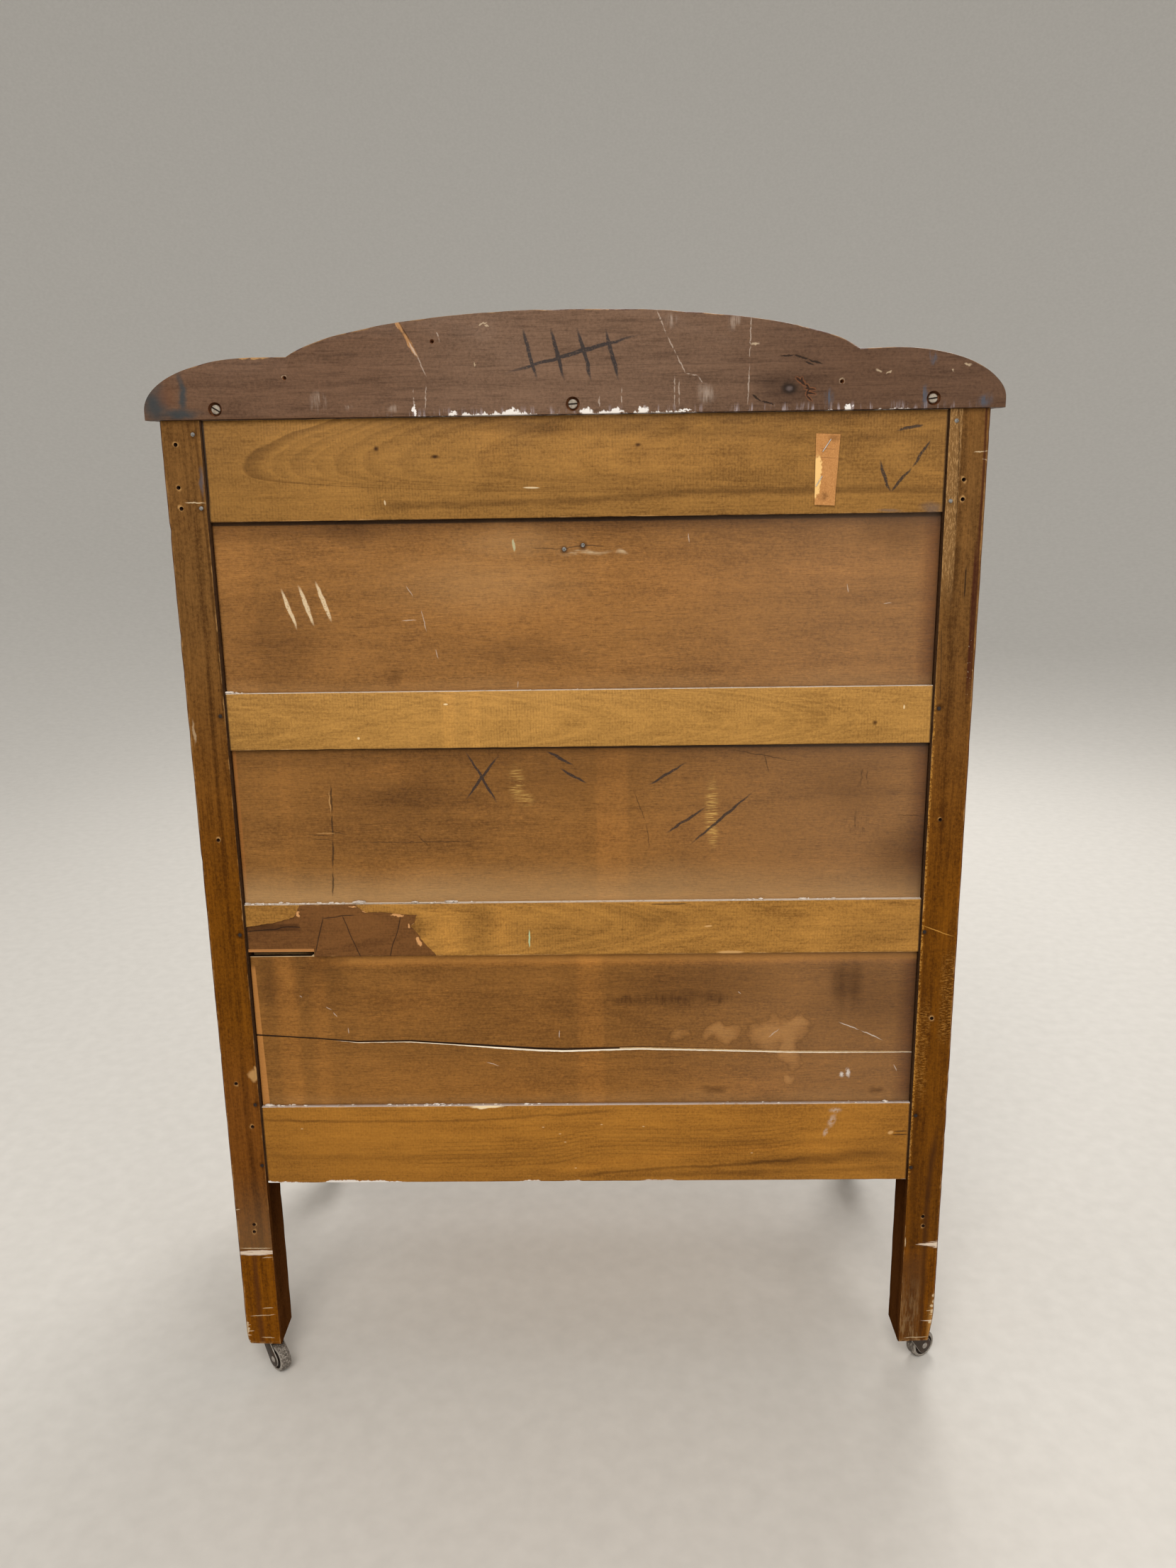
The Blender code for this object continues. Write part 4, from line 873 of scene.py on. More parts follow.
def middle_panel_finish():
    coat = panel_base("back_panel_middle", PANEL_MIDDLE, 7, 0.3, (0.0012, 0.005))
    ragged = coat.warped(0.004, 40)
    fine = coat.warped(0.0008, 140)
    coat.paint(coat.band(X, 0.3825, 0.389, 0.0008), tone(158, 102, 50), 0.6)
    stripe(coat, -0.054, -0.019, 0.5)
    stripe(coat, 0.325, 0.338, 0.2)
    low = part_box("back_lower_rail")[1].z
    drift = coat.times(coat.noise(coat.stretched((6, 6, 3))), 0.03)
    settled = coat.fade(coat.minus(coat.axes[Z], drift), low + 0.04, low - 0.012)
    coat.paint(settled, FINE_DUST_AND_SHEEN, coat.span(coat.axes[X], -0.3, 0.3, 0.24, 0.46))
    rubs = (
        (0.07, 0.768, 0.012, 0.03), (0.062, 0.75, 0.014, 0.012), (-0.148, 0.735, 0.01, 0.052),
        (-0.15, 0.705, 0.008, 0.02),
    )
    nap = coat.streaky(0.5, 0.6, X, 1100, 60, 0, 2)
    coat.paint(coat.times(coat.spots(rubs, 0.9), nap), tone(206, 166, 92), 0.8)
    clouds = ((0.02, 0.775, 0.14, 0.035), (-0.3, 0.76, 0.09, 0.05), (0.2, 0.75, 0.1, 0.05))
    coat.darken(coat.spots(clouds, 1, ragged), 0.3)
    # Painted shade low down beside the post at -X
    coat.darken(coat.spots(((-0.372, 0.68, 0.07, 0.06),), 1, ragged), 0.5)
    pale = ((-0.07, 0.708, 0.17, 0.036), (0.2, 0.785, 0.06, 0.03), (0.2, 0.66, 0.12, 0.03))
    coat.lighten(coat.spots(pale, 1, ragged), 0.34)
    split_path = ((0.279, 0.77), (0.2795, 0.735), (0.28, 0.708), (0.283, 0.668), (0.285, 0.636))
    split = coat.lines((split_path,), 0.0026, fine)
    coat.paint(split, SOOT_AND_SHADOW, 0.65)
    coat.press(split, 2)
    split_rims = (((0.2815, 0.764), (0.281, 0.735)), ((0.3, 0.7125), (0.275, 0.7115)))
    coat.paint(coat.lines(split_rims, 0.0014, fine), RAW, 0.55)
    scored = (
        ((0.311, 0.7115), (0.279, 0.7085)), ((0.308, 0.7065), (0.282, 0.7045)),
        ((0.29, 0.716), (0.262, 0.7105)), ((0.27, 0.701), (0.1, 0.7005)),
        ((-0.352, 0.7265), (-0.386, 0.7255)), ((0.185, 0.71), (0.172, 0.695)),
        ((-0.205, 0.8), (-0.212, 0.776)), ((-0.16, 0.806), (-0.25, 0.788)),
        ((-0.06, 0.76), (-0.075, 0.72), (-0.078, 0.69)),
    )
    coat.paint(coat.lines(scored, 0.0014, fine), SOOT_AND_SHADOW, 0.5)
    hatched = coat.spots(((-0.317, 0.773, 0.014, 0.018), (-0.312, 0.718, 0.016, 0.022)), 0.9)
    coat.paint(coat.times(hatched, coat.streaky(0.5, 0.62, Z, 260, 60)), SOOT_AND_SHADOW, 0.55)
    crayon_strokes(coat, PANEL_STROKES, 0.004, 0.85)
    return coat.finished(0.28)


CRACK = (
    (0.395, 0.4645), (0.316, 0.459), (0.267, 0.4545), (0.205, 0.455), (0.108, 0.448), (0.053, 0.444),
    (0.023, 0.443), (-0.065, 0.445), (-0.157, 0.442), (-0.241, 0.439), (-0.395, 0.437),
)

CRACK_LIP = (
    (0.395, 0), (0.31, 0), (0.27, 0.0008), (0.16, 0.0012), (0.06, 0.0024), (-0.04, 0.0022), (-0.15, 0.0016),
    (-0.28, 0.0014), (-0.34, 0.001), (-0.395, 0.0008),
)


def slipped_edge(coat):
    """Paler veneer that the rail hid before the panel slipped down, and bare wood at its outer end."""
    coat.lighten(coat.times(coat.band(Z, 0.55, 0.6, 0.004), coat.where(X, 0.34, 0.28)), 0.8)
    hidden = coat.times(coat.band(Z, 0.5535, 0.6, 0.003), coat.where(X, 0.3, 0.26))
    coat.paint(hidden, tone(176, 124, 62), 0.45)
    coat.paint(coat.times(coat.where(Z, 0.5631, 0.5635), coat.where(X, 0.309, 0.311)), CREAM, 0.6)
    slant = coat.plus(coat.axes[X], coat.times(coat.minus(coat.axes[Z], 0.47), -0.02))
    bare = coat.times(coat.fade(slant, 0.3796, 0.3806), coat.where(Z, 0.556, 0.546))
    coat.paint(bare, tone(186, 128, 68), 0.85)


def water_marks(coat):
    """Pale pools of dried water with a darker tide line."""
    pools = (
        (-0.113, 0.462, 0.018, 0.011), (-0.161, 0.464, 0.022, 0.014), (-0.228, 0.463, 0.042, 0.022),
        (-0.242, 0.446, 0.018, 0.032), (-0.246, 0.474, 0.028, 0.012), (-0.244, 0.405, 0.01, 0.006),
    )
    torn_rim = coat.warped(0.009, 42)
    faint = coat.times(coat.spot(*pools[0], place=torn_rim), 0.5)
    wet = coat.either([faint] + [coat.spot(*pool, place=torn_rim) for pool in pools[1:]])
    coat.lighten(coat.fade(wet, 0, 0.6), 0.5)
    coat.paint(coat.fade(wet, 0, 0.8), tone(184, 140, 88), 0.3)
    coat.darken(coat.times(coat.fade(wet, 0, 0.07), coat.fade(wet, 0.18, 0.07)), 0.2)


def crack_rims(coat):
    """The crack's raw lower lip and the shadow over it."""
    below = coat.minus(coat.path(CRACK, X, straight=True), coat.axes[Z])
    uneven = coat.times(coat.minus(coat.grained(Z, 120, 20), 0.5), 0.0012)
    past_lip = coat.minus(below, coat.plus(coat.path(CRACK_LIP, X), uneven))
    lip = coat.times(coat.fade(below, 0.0002, 0.0006), coat.fade(past_lip, 0.0003, -0.0001))
    coat.paint(lip, tone(244, 234, 214), 0.95)
    shadow = coat.times(coat.fade(below, 0.0001, -0.0002), coat.fade(below, -0.0024, -0.0016))
    coat.paint(shadow, SOOT_AND_SHADOW, coat.span(coat.axes[X], -0.16, 0.04, 0.2, 0.92))


def lower_panel_finish():
    coat = panel_base("back_panel_lower", PANEL_LOWER, 12, 0, (0.0002, 0.004))
    ragged = coat.warped(0.006, 45)
    fine = coat.warped(0.0006, 160)
    slipped_edge(coat)
    for low, high, share in ((0.336, 0.36, 0.8), (-0.024, 0.006, 0.5), (0.3, 0.318, 0.45)):
        stripe(coat, low, high, share, 0.006)
    coat.darken(coat.spots(((0.306, 0.548, 0.05, 0.04), (0.366, 0.53, 0.022, 0.06)), 1, ragged), 0.45)
    coat.darken(coat.patch((-0.325, -0.29, 0.006), (0.505, 0.545, 0.012)), 0.4)
    # The spot at -0.345 is painted shade beside the post at -X
    coat.darken(coat.spots(((-0.345, 0.51, 0.12, 0.09), (-0.12, 0.525, 0.16, 0.04)), 1, ragged), 0.4)
    warm = (
        (0.06, 0.475, 0.07, 0.05), (0.09, 0.392, 0.1, 0.025), (-0.2, 0.392, 0.07, 0.025),
        (0.2, 0.5, 0.12, 0.04),
    )
    coat.lighten(coat.spots(warm, 1, ragged), 0.28)
    coat.lighten(coat.patch((-0.28, 0.3, 0.06), (0.376, 0.43, 0.014)), 0.24)
    for left, right in ((-0.305, -0.298), (-0.3195, -0.314)):
        coat.darken(coat.patch((left, right, 0.004), (0.49, 0.55, 0.02)), 0.2)
    smudges = ((-0.1, 0.507, 0.095, 0.016), (-0.05, 0.505, 0.03, 0.01), (-0.155, 0.508, 0.03, 0.014))
    strokes = coat.span(coat.grained(Z, 300, 30, 0, 4), 0.3, 0.7, 0.35, 1)
    coat.darken(coat.times(coat.spots(smudges, 1, ragged), strokes), 0.75)
    water_marks(coat)
    dusty_line = ((-0.299, 0.4755), (-0.325, 0.465), (-0.353, 0.4515))
    coat.paint(coat.lines((dusty_line,), 0.0016, fine), DUST, 0.5)
    blots = ((-0.3052, 0.408, 0.004, 0.005, 0.3), (-0.3126, 0.4105, 0.0038, 0.0085, 0.1))
    coat.paint(coat.times(coat.spots(blots, 0.9, fine), coat.flecked(0.3, 0.55, 400, 3)), WHITE, 0.65)
    low_stains = ((-0.345, 0.387, 0.008, 0.008), (-0.154, 0.39, 0.026, 0.007))
    coat.darken(coat.spots(low_stains, 1, ragged), 0.55)
    scratches = (
        ((-0.23, 0.468), (-0.217, 0.456)), ((0.116, 0.428), (0.1, 0.4225)),
        ((0.0285, 0.468), (0.0283, 0.458)), ((0.302, 0.5), (0.296, 0.496)), ((0.294, 0.493), (0.29, 0.487)),
        ((-0.366, 0.421), (-0.37, 0.412)), ((0.278, 0.473), (0.2775, 0.466)),
        ((-0.181, 0.515), (-0.184, 0.512)), ((0.332, 0.514), (0.33, 0.5125)),
    )
    coat.paint(coat.lines(scratches, 0.0013, fine), CHALKY, 0.6)
    crack_rims(coat)
    return coat.finished(0.28)


def gallery_stains(coat, ragged, fine):
    """Blue-black and rusty stains, and a dark knot."""
    blue_black = (
        (0.43, 1.178, 0.02, 0.03), (0.402, 1.186, 0.006, 0.036), (0.408, 1.168, 0.034, 0.008),
        (0.437, 1.192, 0.01, 0.03),
    )
    coat.paint(coat.spots(blue_black, 0.9, ragged), tone(44, 58, 64), 0.8)
    rusty = ((0.418, 1.186, 0.013, 0.018), (0.424, 1.207, 0.016, 0.01))
    coat.paint(coat.spots(rusty, 0.9, ragged), tone(104, 64, 38), 0.4)
    blue = (
        (-0.262, 1.174, 0.007, 0.014), (-0.359, 1.173, 0.006, 0.015), (-0.421, 1.17, 0.012, 0.01),
        (-0.366, 1.212, 0.005, 0.01),
    )
    streaks = coat.streaky(0.4, 0.6, Z, 260, 40)
    coat.paint(coat.times(coat.spots(blue, 0.8, ragged), streaks), BLUE_STAIN, 0.7)
    round_knot = ((-0.22, 1.184, 0.044, 0.022), (-0.205, 1.19, 0.03, 0.014))
    coat.darken(coat.spots(round_knot, 1, ragged), 0.5)
    knot = coat.spot(-0.2215, 1.184, 0.011, 0.008, place=fine)
    coat.paint(coat.fade(knot, 0, 0.6), SOOT_AND_SHADOW, 0.9)
    coat.paint(coat.fade(knot, 0.55, 0.95), tone(96, 84, 82), 0.8)


def gallery_cracks(coat):
    """Cracks about the knot, four of them with a raw edge, and a faint line along the board."""
    raw_edged = (
        ((-0.228, 1.194), (-0.238, 1.187), (-0.242, 1.183), (-0.239, 1.176), (-0.244, 1.171)),
        ((-0.234, 1.1885), (-0.234, 1.194)), ((-0.236, 1.1845), (-0.248, 1.182)),
        ((-0.24, 1.1795), (-0.247, 1.1775)),
    )
    others = (
        ((-0.184, 1.178), (-0.193, 1.172), (-0.206, 1.1685)),
        ((-0.212, 1.216), (-0.225, 1.2165), (-0.24, 1.212), (-0.254, 1.207)),
        ((-0.236, 1.21), (-0.246, 1.206)),
    )
    crazed = coat.lines(others + raw_edged, 0.0024, coat.warped(0.0012, 160))
    split_edge = coat.lines(raw_edged, 0.0048, coat.warped(0.0016, 160))
    coat.paint(split_edge, tone(140, 84, 48), 0.4)
    coat.paint(crazed, SOOT_AND_SHADOW, 0.9)
    coat.press(crazed, 2.5)
    faint_line = ((0.1, 1.2105), (-0.1, 1.2095), (-0.26, 1.211))
    coat.paint(coat.streak(faint_line, 0.0016, X, 0.0004), SOOT_AND_SHADOW, 0.25)


def gallery_scratches(coat, ragged, fine):
    """Chalky scratches and smears, pale flecks and the bare wood of the gouge."""
    scratches = (
        ((-0.086, 1.262), (-0.097, 1.236), (-0.106, 1.219), (-0.116, 1.2), (-0.128, 1.198), (-0.133, 1.191)),
        ((-0.1045, 1.166), (-0.1045, 1.202)), ((-0.1095, 1.168), (-0.109, 1.196)),
        ((-0.1815, 1.26), (-0.1805, 1.21), (-0.179, 1.166)), ((0.159, 1.224), (0.149, 1.2)),
        ((0.137, 1.246), (0.134, 1.234)), ((0.163, 1.19), (0.163, 1.166)), ((0.15, 1.194), (0.152, 1.168)),
        ((-0.05, 1.188), (-0.0505, 1.17)), ((-0.027, 1.18), (-0.0275, 1.168)),
    )
    broken = coat.flecked(0.34, 0.52, 240, 3)
    coat.paint(coat.times(coat.lines(scratches, 0.0016, fine), broken), CHALKY, 0.45)
    smears = (
        (-0.165, 1.249, 0.007, 0.012, -0.3), (-0.101, 1.252, 0.006, 0.01, 0.3), (0.262, 1.178, 0.01, 0.014),
        (0.185, 1.17, 0.006, 0.006), (-0.186, 1.228, 0.006, 0.002), (0.23, 1.172, 0.006, 0.004),
        (-0.137, 1.18, 0.012, 0.014),
    )
    streaks = coat.streaky(0.36, 0.66, Z, 330, 40, 2)
    coat.paint(coat.times(coat.spots(smears, 1, ragged), streaks), CHALKY, 0.42)
    flecks = (
        (0.09, 1.251, 0.005, 0.0012, 0.3), (0.086, 1.249, 0.003, 0.0012, -0.3),
        (0.0995, 1.212, 0.0012, 0.0036), (-0.312, 1.1995, 0.004, 0.0014, -0.4),
        (-0.322, 1.198, 0.004, 0.0012, 0.4), (-0.402, 1.2045, 0.005, 0.0013, -0.2),
        (-0.387, 1.199, 0.0015, 0.0015), (-0.275, 1.191, 0.0036, 0.0036), (0.295, 1.2025, 0.003, 0.0028),
        (-0.186, 1.2275, 0.005, 0.0013),
    )
    coat.paint(coat.spots(flecks, 0.6, coat.warped(0.0012, 300)), tone(186, 166, 138), 0.7)
    gouged = ((0.182, 1.262), (0.171, 1.244), (0.158, 1.221))
    coat.paint(coat.lines((gouged,), 0.005, coat.warped(0.0008, 160)), tone(176, 132, 88), 0.9)
    coat.paint(coat.lines((((0.166, 1.235), (0.158, 1.221)),), 0.0028, fine), CHALKY, 0.6)


def gallery_splashes(coat, low):
    """White paint splashed up from the top, thick in places, and thin streaks of it."""
    above = coat.minus(coat.axes[Z], low.z)
    reach = coat.noise(coat.stretched((190, 190, 14)), 1, 4, 0.7)
    heavy = coat.fade(coat.noise(coat.stretched((24, 24, 2), 5)), 0.42, 0.62)
    middle = coat.times(coat.band(X, -0.135, 0.165, 0.012), coat.span(heavy, 0, 1, 0.86, 1.12))
    far = coat.times(coat.band(X, -0.375, -0.25, 0.01), coat.span(heavy, 0, 1, 0.7, 1))
    drips = coat.times(coat.span(reach, 0, 1, 0.18, 0.82), coat.either([middle, far]), 0.0225)
    splashed = coat.fade(coat.minus(drips, above), 0.01, 0.0112)
    thick = (
        (0.063, 1.1645, 0.008, 0.0046), (-0.014, 1.1645, 0.007, 0.0042), (-0.045, 1.164, 0.006, 0.004),
        (-0.072, 1.1645, 0.005, 0.005), (0.163, 1.168, 0.0022, 0.007), (0.123, 1.1645, 0.006, 0.003),
        (-0.115, 1.164, 0.006, 0.002), (-0.283, 1.164, 0.004, 0.003),
    )
    brushed = coat.spots(thick, 0.35, coat.warped(0.003, 260))
    coat.paint(coat.either([splashed, brushed]), WHITE, 0.88)
    streaks = coat.times(coat.fade(above, 0.01, 0.001), coat.streaky(0.52, 0.72, Z, 260, 30, 6))
    coat.paint(coat.times(streaks, coat.band(X, -0.4, 0.2, 0.02)), tone(206, 196, 204), 0.4)


def gallery_finish():
    low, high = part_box("gallery")
    coat = wood("gallery_wood", X, GALLERY, Z, 0.012, None, 1.6, 9, 0.3)
    coat.rough = 0.5
    ragged = coat.warped(0.003, 70)
    fine = coat.warped(0.0007, 200)
    coat.darken(coat.where(X, 0.02, -0.3), 0.22)
    coat.tint(coat.band(X, -0.2, 0.16, 0.08), BLEACHED, 0.9)
    ripple = coat.grained(X, 300, 24, 4, 3)
    coat.darken(coat.fade(ripple, 0.5, 0.72), 0.3)
    coat.lighten(coat.fade(ripple, 0.4, 0.2), 0.25)
    gallery_stains(coat, ragged, fine)
    gallery_cracks(coat)
    gallery_scratches(coat, ragged, fine)
    gallery_splashes(coat, low)
    crayon_strokes(coat, GALLERY_STROKES, 0.0052, 0.88)
    front = coat.looks(Y, -1)
    edge = coat.looks(Z, 1)
    coat.paint(coat.either([front, coat.times(edge, 0.85)]), in_tones(coat, STAINED), 1)
    coat.polish(front, 0.34)
    worn = coat.flecked(0.42, 0.55, 40, 4, 0.7)
    near_back = coat.where(Y, high.y - 0.006, high.y - 0.001)
    coat.paint(coat.times(edge, near_back, worn), RAW, 0.4)
    rubbed_top = (
        (0.215, 1.2565, 0.03, 0.003, 0.2), (0.405, 1.2125, 0.01, 0.003, 0.5), (0.33, 1.2235, 0.03, 0.0016),
    )
    coat.paint(coat.spots(rubbed_top, 0.5, ragged), RAW, 0.55)
    return coat.finished(0.3)


def stained_board(name, along, across, shift=0, tip=None, pitch=0.02, spread=1):
    """Dark red-brown stain under old varnish, for the sides that are meant to be seen."""
    tones = shades(76, 40, 24, spread)
    coat = wood(name, along, tones, across, pitch, tip, 0.9, shift, 0.75)
    coat.rough = 0.34
    rubbed = coat.flecked(0.52, 0.72, 7, 4, 0.6)
    coat.paint(rubbed, tone(108, 62, 34), 0.35)
    coat.darken(coat.flecked(0.5, 0.7, 3.2, 3), 0.4)
    return coat


def stained_edges(coat, axes, box, reach=0.0018, share=0.55):
    """Varnish rubbed through to the wood along the edges."""
    rim = coat.fade(coat.rim(axes, *box, 0.004), reach, 0.2 * reach)
    coat.paint(rim, tone(134, 84, 48), share)
    return coat


def front_post_finish(side):
    coat = stained_board(f"front_post_{side}_wood", Z, X, 5 * SIDES[side], None, 0.014)
    return stained_edges(coat, (X, Y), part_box(f"post_front_{side}")).finished(0.18, 0.25)


def side_rail_finish(node, shift):
    coat = stained_board(f"{node}_wood", Y, Z, shift)
    return stained_edges(coat, (X, Z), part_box(node)).finished(0.18, 0.25)


def side_panel_finish(side):
    sign = SIDES[side]
    coat = stained_board(f"side_panel_{side}_wood", Z, Y, 7 * sign, (0.98, 0.02 * sign, -0.02), 0.05)
    low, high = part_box(f"side_panel_{side}")
    # Painted shade along the panel's edges, where the frame stands over it
    coat.darken(coat.fade(coat.rim((Y, Z), low, high, 0.004), 0.016, 0.006), 0.55)
    coat.paint(coat.looks(X, -sign), in_tones(coat, LINING), 0.9)
    return coat.finished(0.18, 0.25)


def top_board_finish():
    coat = stained_board("top_board_wood", X, Y, 21, None, 0.03)
    plank = coat.math("FLOOR", coat.math("DIVIDE", coat.plus(coat.axes[Y], 0.3), 0.162))
    hue = coat.add("ShaderNodeTexWhiteNoise", {"W": plank}, noise_dimensions="1D").outputs[0]
    coat.paint(coat.span(hue, 0, 1, 0, 1), tone(98, 54, 30), 0.3)
    joint = coat.math("FRACT", coat.math("DIVIDE", coat.plus(coat.axes[Y], 0.3), 0.162))
    coat.darken(coat.fade(joint, 0.008, 0.002), 0.8)
    # Painted shade on faces that look down
    coat.darken(coat.looks(Z, -1), 0.8)
    return stained_edges(coat, (Y, Z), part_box("top_board"), 0.003, 0.5).finished(0.15, 0.3)


def drawer_front_finish(number):
    node = f"drawer_{number}_front"
    low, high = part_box(node)
    middle = (low.z + high.z) / 2
    tip = (0.3 - 0.1 * number, middle - 0.02, 0.016)
    coat = stained_board(f"{node}_wood", X, Z, 5 * number, tip, 0.055)
    pulls = [(x, middle, 0.036, 0.034) for x in (-KNOB_REACH_OUT, KNOB_REACH_OUT)]
    coat.darken(coat.spots(pulls, 1, coat.warped(0.003, 60)), 0.6)
    stained_edges(coat, (X, Z), (low, high), 0.0022, 0.5)
    inside = coat.where(Y, high.y - 0.0012, high.y - 0.0004)
    coat.paint(inside, in_tones(coat, LINING))
    coat.polish(inside, 0.65)
    return coat.finished(0.15, 0.3)


def knob_finish():
    coat = wood("knob_wood", Y, shades(66, 34, 20), Z, 0.006, None, 0.8, 2, 0.5)
    coat.rough = 0.28
    return coat.finished(0.12, 0.4)


def lining_finish(name, along, across, shift=0):
    """Bare drawer wood, a little grey with age and dust."""
    coat = wood(name, along, LINING, across, 0.02, None, 0.9, shift, 0.6)
    coat.rough = 0.65
    coat.darken(coat.flecked(0.45, 0.7, 5, 4, 0.6), 0.45)
    coat.dusty_top(0.15)
    return coat


def drawer_frame_finish(name):
    """Bare frames whose front edge is stained to match the drawer fronts."""
    node = f"drawer_frame_{name}"
    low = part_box(node)[0]
    coat = lining_finish(f"{node}_wood", X, Z, low.z * 9)
    front = coat.where(Y, low.y + 0.012, low.y + 0.004)
    coat.paint(front, in_tones(coat, STAINED))
    coat.polish(front, 0.36)
    worn = coat.fade(coat.math("ABSOLUTE", coat.axes[X]), 0.372, 0.376)
    coat.paint(coat.times(worn, coat.looks(Z, 1)), tone(150, 112, 66), 0.5)
    return coat.finished(0.2)


def steel_finish(name, shade, metal, rough, rust=0.5, slot=None):
    """Old steel: mottled, with rust in the pits and, further in than a slot's place, painted dark as dirt and
    as the shade inside the slot.
    """
    coat = Coat(name)
    mottle = coat.noise(coat.place, 240, 4, 0.7)
    dark = (*[value * 0.55 for value in shade[:3]], 1)
    coat.colour = coat.ramp(mottle, (0.3, dark), (0.65, shade))
    coat.paint(coat.flecked(0.5, 0.66, 130, 4, 0.7), tone(92, 60, 38), rust)
    # Painted dark deep in a screw's slot, as dirt and as shade
    if slot:
        coat.paint(coat.where(Y, slot, slot - 0.0002), SOOT_AND_SHADOW, 0.95)
    coat.height = mottle
    coat.rough = rough
    coat.shader.inputs["Metallic"].default_value = metal
    return coat.finished(0.25)


def nail_finish():
    """Nail heads: grey at the top of the back and dark with rust lower down."""
    coat = Coat("nail_steel")
    mottle = coat.noise(coat.place, 600, 3)
    coat.colour = coat.ramp(mottle, (0.3, tone(84, 82, 80)), (0.7, tone(144, 142, 138)))
    coat.paint(coat.where(Z, 1.02, 0.9), tone(40, 30, 25), 0.95)
    coat.height = mottle
    coat.shader.inputs["Metallic"].default_value = 0.15
    return coat.finished(0.25)


def tread_finish():
    """The wheel's tread, grey with floor dust rubbed across it."""
    coat = Coat("wheel_tread")
    streaks = coat.noise(coat.place, 420, 4, 0.7)
    dark, middle, light = tone(62, 57, 52), tone(108, 101, 94), tone(176, 168, 158)
    coat.colour = coat.ramp(streaks, (0.32, dark), (0.5, middle), (0.7, light))
    coat.height = streaks
    coat.rough = 0.6
    return coat.finished(0.3)


def paper_finish():
    """A blank paper tag: tan, foxed, with a torn pale strip and two ruled lines."""
    coat = Coat("tag_paper")
    fibre = coat.noise(coat.place, 700, 4, 0.6)
    coat.colour = coat.ramp(fibre, (0.3, tone(166, 114, 64)), (0.7, tone(194, 140, 84)))
    ragged = coat.warped(0.0022, 220)
    torn = coat.spots(((-0.2535, 1.099, 0.0055, 0.022), (-0.2525, 1.085, 0.004, 0.012)), 0.25, ragged)
    coat.paint(torn, tone(238, 196, 128), 0.9)
    rules = (((-0.2545, 1.1245), (-0.2735, 1.1235)), ((-0.2545, 1.1155), (-0.2735, 1.1145)))
    coat.paint(coat.lines(rules, 0.0009), tone(128, 84, 52), 0.7)
    foxing = ((-0.262, 1.076, 0.008, 0.006), (-0.27, 1.135, 0.01, 0.006))
    coat.darken(coat.spots(foxing, 1, ragged), 0.5)
    coat.height = fibre
    coat.rough = 0.75
    return coat.finished(0.2)


def plain_finish(name, low, high, scale, rough):
    """One mottled colour for small things, such as crumbs of dust, or the painted shade inside a hole."""
    coat = Coat(name)
    coat.height = coat.noise(coat.place, scale, 3)
    coat.colour = coat.ramp(coat.height, (0.3, low), (0.7, high))
    coat.rough = rough
    return coat.finished(0.3)


# Mesh tools


def placed(name, data):
    """A new object in the scene."""
    made = bpy.data.objects.new(name, data)
    bpy.context.scene.collection.objects.link(made)
    return made


def merged(node):
    """A copy of a CAD node with its loose triangles joined into whole faces."""
    bm = bmesh.new()
    bm.from_mesh(frame["nodes"][node].data)
    bmesh.ops.remove_doubles(bm, verts=bm.verts, dist=WELD)
    bmesh.ops.dissolve_limit(bm, angle_limit=math.radians(1), verts=bm.verts, edges=bm.edges)
    return bm


def limit_edges(bm, low, high, axes=(X, Y, Z)):
    """The edges that lie on two of a box's limits."""
    picked = []
    for edge in bm.edges:
        first, second = (vert.co for vert in edge.verts)
        held = 0
        for axis in axes:
            level = abs(first[axis] - second[axis]) < CLOSE
            gap = min(abs(first[axis] - low[axis]), abs(first[axis] - high[axis]))
            held += level and gap < CLOSE
        if held >= 2:
            picked.append(edge)
    return picked


def ease(bm, edges, width, segments=2):
    """Rounds edges over and returns the new faces."""
    made = bmesh.ops.bevel(
        bm, geom=edges, offset=width, segments=segments, profile=0.5, affect="EDGES", material=-1
    )
    return made["faces"]


def cut_across(bm, axis, place):
    normal, point = [0, 0, 0], [0, 0, 0]
    normal[axis], point[axis] = 1, place
    geom = bm.verts[:] + bm.edges[:] + bm.faces[:]
    bmesh.ops.bisect_plane(bm, geom=geom, plane_co=point, plane_no=normal, dist=WELD)


def slice_up(bm, axis, low, high, step):
    """Cuts a shape across, so that its long edges can be shaped along their length."""
    count = max(1, round((high[axis] - low[axis]) / step))
    for number in range(1, count):
        cut_across(bm, axis, low[axis] + (high[axis] - low[axis]) * number / count)


def wear_edges(bm, along, low, high, reach, rub, nick):
    """Rubs the long edges of a board back unevenly, with a deeper nick here and there."""
    cross = [axis for axis in (X, Y, Z) if axis != along]
    for vert in bm.verts:
        gaps = [min(vert.co[axis] - low[axis], high[axis] - vert.co[axis]) for axis in cross]
        if max(gaps) > reach:
            continue
        wave = 0.5 + 0.5 * noise.noise(vert.co * 45)
        bite = max(0.0, noise.noise(vert.co * 110 + Vector((7, 3, 1))) - 0.32)
        pull = rub * wave + nick * bite
        for axis in cross:
            inward = 1 if vert.co[axis] < (low[axis] + high[axis]) / 2 else -1
            vert.co[axis] += inward * pull


def add_to(bm, other, slot=None):
    """Moves another bmesh's shape into a bmesh."""
    if slot is not None:
        for face in other.faces:
            face.material_index = slot
    scrap = bpy.data.meshes.new("scrap")
    other.to_mesh(scrap)
    other.free()
    bm.from_mesh(scrap)
    bpy.data.meshes.remove(scrap)


